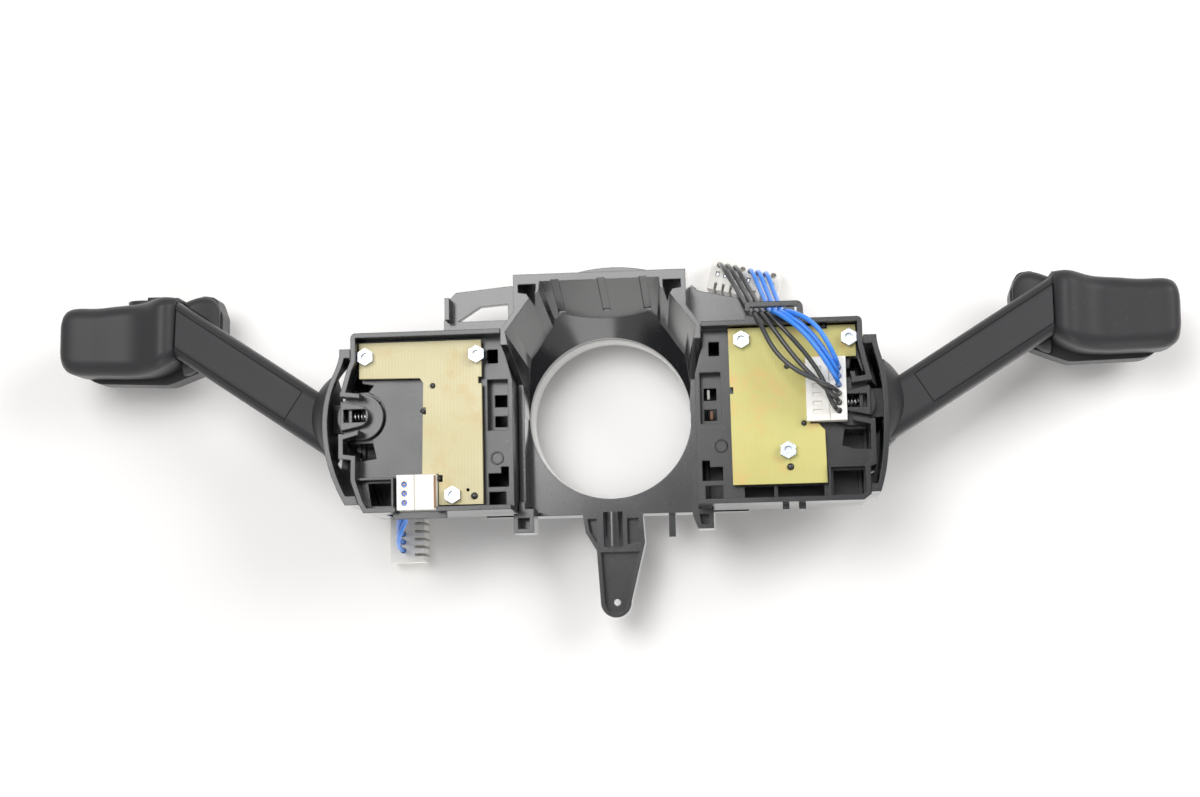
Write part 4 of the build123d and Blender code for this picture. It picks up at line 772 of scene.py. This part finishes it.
# The right wires rise from their connector, bend down through the wire loop and end in the upper
# plug. The left ones drop from theirs, leave by the opening in the tray's wall and end in the
# lower plug.
WIRES = (
    Route("blue_wire_1", BLUE_WIRE, Slot.BLUE_WIRE, (
        (67.7, 9.3, 27.6), (67.7, 9.3, 38.4), (61.9, 21.2, 38.5), (52.8, 26.0, 34.0),
        (52.8, 26.0, 21.0), (50.2, 35.4, 5.0), (47.716, 43.996, -2.0), (47.716, 43.996, -14.0),
    ), 85.4, Plug.UPPER),
    Route("blue_wire_2", BLUE_WIRE, Slot.BLUE_WIRE, (
        (67.7, 6.9, 27.6), (67.7, 6.9, 37.6), (60.0, 19.6, 36.8), (51.1, 26.0, 34.0),
        (51.1, 26.0, 21.0), (48.1, 35.6, 5.0), (45.384, 44.565, -2.0), (45.384, 44.565, -14.0),
    ), 88.2, Plug.UPPER),
    Route("blue_wire_3", BLUE_WIRE, Slot.BLUE_WIRE, (
        (67.7, 4.4, 27.6), (67.7, 4.4, 38.4), (58.6, 18.8, 38.6), (49.4, 26.0, 34.0),
        (49.4, 26.0, 21.0), (46.2, 35.9, 5.0), (43.053, 45.133, -2.0), (43.053, 45.133, -14.0),
    ), 91.4, Plug.UPPER),
    Route("black_wire_1", BLACK_WIRE, Slot.BLACK_WIRE, (
        (67.7, -3.1, 27.6), (65.9, -2.8, 33.6), (62.2, 9.0, 33.4), (47.6, 26.0, 34.0),
        (47.6, 26.0, 21.0), (42.8, 36.6, 5.0), (38.389, 46.270, -2.0), (38.389, 46.270, -14.0),
    ), 95.5, Plug.UPPER),
    Route("black_wire_2", BLACK_WIRE, Slot.BLACK_WIRE, (
        (67.7, -0.7, 27.6), (67.7, -0.7, 35.6), (57.2, 8.9, 35.9), (45.9, 26.0, 34.0),
        (45.9, 26.0, 21.0), (40.8, 36.9, 5.0), (36.058, 46.839, -2.0), (36.058, 46.839, -14.0),
    ), 99.3, Plug.UPPER),
    Route("black_wire_3", BLACK_WIRE, Slot.BLACK_WIRE, (
        (67.7, 1.9, 27.6), (67.7, 1.9, 38.4), (51.5, 9.4, 38.5), (44.2, 26.0, 34.0),
        (44.2, 26.0, 21.0), (38.8, 37.2, 5.0), (33.726, 47.407, -2.0), (33.726, 47.407, -14.0),
    ), 103.2, Plug.UPPER),
    Route("left_blue_wire_1", BLUE_WIRE, Slot.BLUE_WIRE, (
        (-57.7, -20.6, 28.3), (-57.7, -20.6, 15.0), (-65.6, -32.6, 5.0), (-65.6, -32.6, -14.0),
    ), 47.6, Plug.LOWER),
    Route("left_blue_wire_2", BLUE_WIRE, Slot.BLUE_WIRE, (
        (-57.7, -23.2, 28.3), (-57.7, -23.2, 15.0), (-65.6, -35.0, 5.0), (-65.6, -35.0, -14.0),
    ), 47.5, Plug.LOWER),
    Route("left_blue_wire_3", BLUE_WIRE, Slot.BLUE_WIRE, (
        (-57.7, -25.9, 28.3), (-57.7, -25.9, 15.0), (-65.6, -37.6, 5.0), (-65.6, -37.6, -14.0),
    ), 47.5, Plug.LOWER),
)


@dataclass
class Loom:
    """The nine wires between the board connectors and the two loose plugs."""

    routes: tuple[Route, ...] = WIRES
    diameter: float = 1.4
    round_steps: int = 3
    length_steps: int = 12

    def lay(self, route: Route) -> bpy.types.Object:
        """Lays one wire as a round, smooth spline whose control points are the route's points.

        Args:
            route: the wire's route.

        Returns:
            The wire's curve object.
        """
        curve = bpy.data.curves.new(f"{route.name}_line", "CURVE")
        curve.dimensions = "3D"
        curve.bevel_depth = self.diameter / 2 * MM
        curve.bevel_resolution = self.round_steps
        curve.resolution_u = self.length_steps
        curve.use_fill_caps = True
        spline = curve.splines.new("NURBS")
        spline.points.add(len(route.points) - 1)
        for point, place in zip(spline.points, route.points):
            point.co = (*(c * MM for c in place), 1.0)
        # Set before the points are there, these two would leave straight runs
        spline.order_u = 3
        spline.use_endpoint_u = True
        wire = bpy.data.objects.new(f"{route.name}_cord", curve)
        bpy.context.scene.collection.objects.link(wire)
        return wire

    def build(self, nodes: Nodes, paint: Paint) -> None:
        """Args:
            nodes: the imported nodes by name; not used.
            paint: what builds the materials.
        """
        for route in self.routes:
            wire = self.lay(route)
            paint.cover(wire, route.finish)
            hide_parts(route.node)
            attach(wire, Body.ROOT.value)
            LOG.info("wire %s ends in %s", route.name, route.plug.value)


@dataclass
class Bracket:
    """The centre piece, the front plate and the cancelling ring with its pale liner."""

    liner_inner: float = 24.06
    liner_outer: float = 24.7
    liner_low: float = -14.0
    liner_high: float = -3.25
    liner_chamfer: float = 0.2
    liner_columns: int = 128

    def dress(self, nodes: Nodes, paint: Paint) -> None:
        """Gives the centre's nodes their finishes.

        Args:
            nodes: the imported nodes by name.
            paint: what builds the materials.
        """
        for name in ("collar_bracket", "front_plate"):
            paint.cover(nodes[name], BRACKET_PLASTIC)
        paint.cover(nodes["front_plate_screws"], ZINC)
        paint.cover(nodes["cancel_ring"], RING_PLASTIC)

    def add_liner(self, paint: Paint) -> None:
        """Adds the pale sleeve inside the cancelling ring, which shows along the bore's rim.

        Its section is an upright bar with three chamfered corners, turned about the column.

        Args:
            paint: what builds the material.
        """
        inner, outer, cut = self.liner_inner, self.liner_outer, self.liner_chamfer
        low, high = self.liner_low, self.liner_high
        profile = [
            (outer, low), (outer, high - cut), (outer - cut, high), (inner + cut, high),
            (inner, high - cut), (inner, low + cut), (inner + cut, low), (outer, low),
        ]
        points = turned(profile, ORIGIN, self.liner_columns)
        add_piece(
            "cancel_ring_liner", points, Body.CANCEL_RING, RING_PLASTIC, paint
        )


# Pegs that locate the boards: distance outward, height and radius in mm
LEFT_PEGS = ((49.5, 8.2, 0.72), (52.5, 0.9, 0.7), (48.0, -18.9, 0.6), (37.7, -24.2, 0.9))
RIGHT_PEGS = ((53.2, 10.5, 0.7), (57.6, -6.0, 0.7), (53.4, -18.4, 0.9), (64.0, 21.8, 0.7))


@dataclass
class Tray:
    """One tray with its board, connector, mechanism and cover."""

    side: Side
    board: BoardFinish
    pegs: tuple[Point, ...]
    floor_level: float = 22.4
    peg_top: float = 26.7
    peg_lead: float = 0.25
    peg_crown: float = 0.05
    peg_tip: float = 0.72

    def dress(self, nodes: Nodes, paint: Paint) -> None:
        """Gives the tray's nodes their finishes.

        Args:
            nodes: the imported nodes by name.
            paint: what builds the materials.
        """
        finishes = {
            "switch_housing": TRAY_PLASTIC, "front_cover": TRAY_PLASTIC,
            "end_bezel": TRAY_PLASTIC, "carrier": TRAY_PLASTIC,
            "circuit_board": self.board, "board_screws": ZINC,
            "edge_connector": CONNECTOR_PLASTIC, "pivot_pin": ZINC, "hinge_pin": ZINC,
            "return_spring": SPRING_STEEL, "detent_spring": SPRING_STEEL,
            "detent_plunger": INNER_PLASTIC, "contact_slider": INNER_PLASTIC,
        }
        for name, finish in finishes.items():
            paint.cover(nodes[f"{self.side.word}_{name}"], finish)

    def add_pegs(self, paint: Paint) -> None:
        """Stands the moulded pegs that locate the board in its holes and notches.

        Each is a turned pin: a straight shank, a lead-in to a share of its radius and a low
        crown.

        Args:
            paint: what builds the material.
        """
        lead, crown = self.peg_top - self.peg_lead, self.peg_top - self.peg_crown
        for number, (out, y, radius) in enumerate(self.pegs, 1):
            profile = [
                (0.0, self.floor_level), (radius, self.floor_level), (radius, lead),
                (self.peg_tip * radius, crown), (0.0, self.peg_top),
            ]
            name = f"{self.side.word}_board_peg_{number}"
            points = turned(profile, self.side.out(out, y, 0.0))
            add_piece(name, points, Body.ROOT, TRAY_PLASTIC, paint)


@dataclass
class Contacts:
    """Small bare contacts seen in the connectors, the upper plug and a latch window.

    A place is a distance outward from the column, a height and a level.
    """

    strip_place: Point = (48.75, -22.9, 28.98)
    strip_size: Point = (0.6, 9.6, 0.3)
    strip_power: float = 10.0
    leaf_place: Point = (31.0, -2.0, 16.9)
    leaf_size: Point = (0.9, 2.6, 0.5)
    spacer_place: Point = (30.2, 4.05, 16.9)
    spacer_size: Point = (0.8, 2.9, 0.4)
    strands_out: float = 57.7
    strands_heights: tuple[float, ...] = (-20.6, -23.2, -25.9)
    strands_profile: tuple[FlatPoint, ...] = ((0.0, 28.2), (0.34, 28.2), (0.3, 28.5), (0.0, 28.6))
    plug_centre: FlatPoint = (41.2, 42.6)
    plug_turn: float = -13.7
    plug_pitch: float = 2.4
    plug_ways: int = 8
    terminal_size: Point = (0.7, 1.15, 0.5)
    terminal_level: float = -11.7

    def build(self, paint: Paint) -> None:
        """Adds the strip, the leaf, the spacer, the strands and the terminals.

        Args:
            paint: what builds the materials.
        """
        self.add_slabs(paint)
        self.add_strands(paint)
        self.add_terminals(paint)

    def add_slabs(self, paint: Paint) -> None:
        """Adds the strip along the left connector, and the leaf and spacer in the window.

        Args:
            paint: what builds the materials.
        """
        strip = rounded_slab(Side.LEFT.out(*self.strip_place), self.strip_size, self.strip_power)
        leaf = rounded_slab(Side.RIGHT.out(*self.leaf_place), self.leaf_size)
        spacer = rounded_slab(Side.RIGHT.out(*self.spacer_place), self.spacer_size)
        for name, points, slot, finish in (
            ("left_connector_strip", strip, Slot.CONNECTOR_PLASTIC, BROWN_STRIP),
            ("right_contact_leaf", leaf, Slot.CONNECTOR_PLASTIC, BROWN_STRIP),
            ("right_contact_spacer", spacer, Slot.WHITE_PLASTIC, INNER_PLASTIC),
        ):
            add_piece(name, points, Body.ROOT, finish, paint)

    def add_strands(self, paint: Paint) -> None:
        """Adds the bare ends of the left wires, as low turned domes in the connector's holes.

        Args:
            paint: what builds the material.
        """
        for number, y in enumerate(self.strands_heights, 1):
            points = turned(self.strands_profile, Side.LEFT.out(self.strands_out, y, 0.0))
            name = f"left_wire_strands_{number}"
            add_piece(name, points, Body.ROOT, COPPER, paint)

    def add_terminals(self, paint: Paint) -> None:
        """Adds the upper plug's row of terminals, a pitch apart along its turned length.

        Args:
            paint: what builds the material.
        """
        turn = math.radians(self.plug_turn)
        for number in range(self.plug_ways):
            along = (number - (self.plug_ways - 1) / 2) * self.plug_pitch
            x = self.plug_centre[0] + along * math.cos(turn)
            y = self.plug_centre[1] + along * math.sin(turn)
            centre = (x * MM, y * MM, self.terminal_level * MM)
            points = rounded_slab(centre, self.terminal_size, turn=self.plug_turn)
            name = f"upper_plug_terminal_{number + 1}"
            add_piece(name, points, Body.ROOT, ZINC, paint)


@dataclass
class Lever:
    """One lever: shank, cuff, arm, inlaid panel and the two shells of its head."""

    side: Side

    def dress(self, nodes: Nodes, paint: Paint) -> None:
        """Gives the lever's nodes, and the dial on the left head, their finishes.

        Args:
            nodes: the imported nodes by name.
            paint: what builds the materials.
        """
        paint.cover(nodes[f"{self.side.word}_shank"], TRAY_PLASTIC)
        for name in ("cuff", "arm", "arm_panel", "head_back", "head_front"):
            paint.cover(nodes[f"{self.side.word}_{name}"], STALK_PLASTIC)
        if self.side is Side.LEFT:
            paint.cover(nodes["left_dial"], STALK_PLASTIC)


@dataclass
class Plugs:
    """The two loose plugs."""

    finish: PlasticFinish = CONNECTOR_PLASTIC

    def dress(self, nodes: Nodes, paint: Paint) -> None:
        """Gives the plugs their finish."""
        for plug in Plug:
            paint.cover(nodes[plug.value], self.finish)


# Studio


@dataclass(frozen=True)
class Lamp:
    """A square soft light: where it hangs, its size, its watts and where it points."""

    name: str
    place: Point
    size: float
    power: float
    target: Point = ORIGIN

    def build(self) -> None:
        """Hangs the light and turns it towards its target.

        A light shines down its own -Z. It is tipped about X by the angle between up and the way
        back from the target, and then turned about Z into that direction.
        """
        light = bpy.data.lights.new(self.name, "AREA")
        light.shape = "SQUARE"
        light.size = self.size
        light.energy = self.power
        lamp = bpy.data.objects.new(self.name, light)
        bpy.context.scene.collection.objects.link(lamp)
        lamp.location = self.place
        x, y, z = np.asarray(self.place) - np.asarray(self.target)
        lamp.rotation_mode = "XYZ"
        lamp.rotation_euler = (math.atan2(math.hypot(x, y), z), 0.0, math.atan2(x, -y))


@dataclass
class Studio:
    """White floor, soft lights and the camera above the switch.

    The camera's place and turn, in mm and degrees, were fitted to the photograph.
    """

    lens: float = 63.0
    sensor: float = 36.0
    camera_place: Point = (53.204, -68.259, 625.25)
    camera_turn: Point = (6.636, 5.286, -1.215)
    camera_clip: Span = (10.0, 20000.0)
    lamps: tuple[Lamp, ...] = (
        Lamp("key", (-0.28, 0.33, 1.15), 0.6, 8.5),
        Lamp("fill", (0.85, 0.45, 0.8), 0.6, 7.0),
        Lamp("low", (0.1, -1.1, 0.3), 0.6, 3.5),
    )
    world_level: float = 0.34
    floor_finish: FloorFinish = FLOOR_PAPER
    floor_level: float = -20.0
    floor_half: float = 1500.0

    def build(self) -> None:
        """Sets up the camera, the lights, the world, the floor and the view."""
        self.camera()
        for lamp in self.lamps:
            lamp.build()
        self.world()
        self.floor()
        bpy.context.scene.view_settings.view_transform = "Standard"

    def camera(self) -> None:
        """Puts the camera where the photograph was taken from."""
        data = bpy.data.cameras.new("camera")
        data.lens = self.lens
        data.sensor_fit = "HORIZONTAL"
        data.sensor_width = self.sensor
        data.clip_start, data.clip_end = (c * MM for c in self.camera_clip)
        camera = bpy.data.objects.new("camera", data)
        bpy.context.scene.collection.objects.link(camera)
        camera.location = tuple(c * MM for c in self.camera_place)
        camera.rotation_euler = tuple(math.radians(a) for a in self.camera_turn)
        bpy.context.scene.camera = camera

    def world(self) -> None:
        """Makes a plain world that lights evenly and is white where a ray shows it."""
        world = bpy.data.worlds.new("studio_world")
        bpy.context.scene.world = world
        world.use_nodes = True
        tree = world.node_tree
        background = tree.nodes["Background"]
        background.inputs["Color"].default_value = (1.0, 1.0, 1.0, 1.0)
        level = new_node(tree, "ShaderNodeMapRange", To_Min=self.world_level, To_Max=1.0)
        tree.links.new(seen_rays(tree), level.inputs["Value"])
        tree.links.new(level.outputs["Result"], background.inputs["Strength"])

    def floor(self) -> None:
        """Lays the flat floor that the switch stands on."""
        half, level = self.floor_half * MM, self.floor_level * MM
        corners = [(x * half, y * half, level) for x, y in ((-1, -1), (1, -1), (1, 1), (-1, 1))]
        mesh = bpy.data.meshes.new("floor")
        mesh.from_pydata(corners, [], [(0, 1, 2, 3)])
        mesh.materials.append(self.floor_finish.build())
        floor = bpy.data.objects.new("floor", mesh)
        bpy.context.scene.collection.objects.link(floor)


def main() -> None:
    """Builds the scene in order: the studio and the wires first, then each sub-assembly."""
    logging.basicConfig(level=logging.INFO, format="%(name)s: %(message)s")
    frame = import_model()
    nodes = frame["nodes"]
    paint = Paint()
    Studio().build()
    Loom().build(nodes, paint)
    bracket = Bracket()
    bracket.dress(nodes, paint)
    bracket.add_liner(paint)
    for tray in (
        Tray(Side.LEFT, LEFT_BOARD, LEFT_PEGS), Tray(Side.RIGHT, RIGHT_BOARD, RIGHT_PEGS)
    ):
        tray.dress(nodes, paint)
        tray.add_pegs(paint)
        Lever(tray.side).dress(nodes, paint)
    Contacts().build(paint)
    Plugs().dress(nodes, paint)


if __name__ == "__main__":
    main()
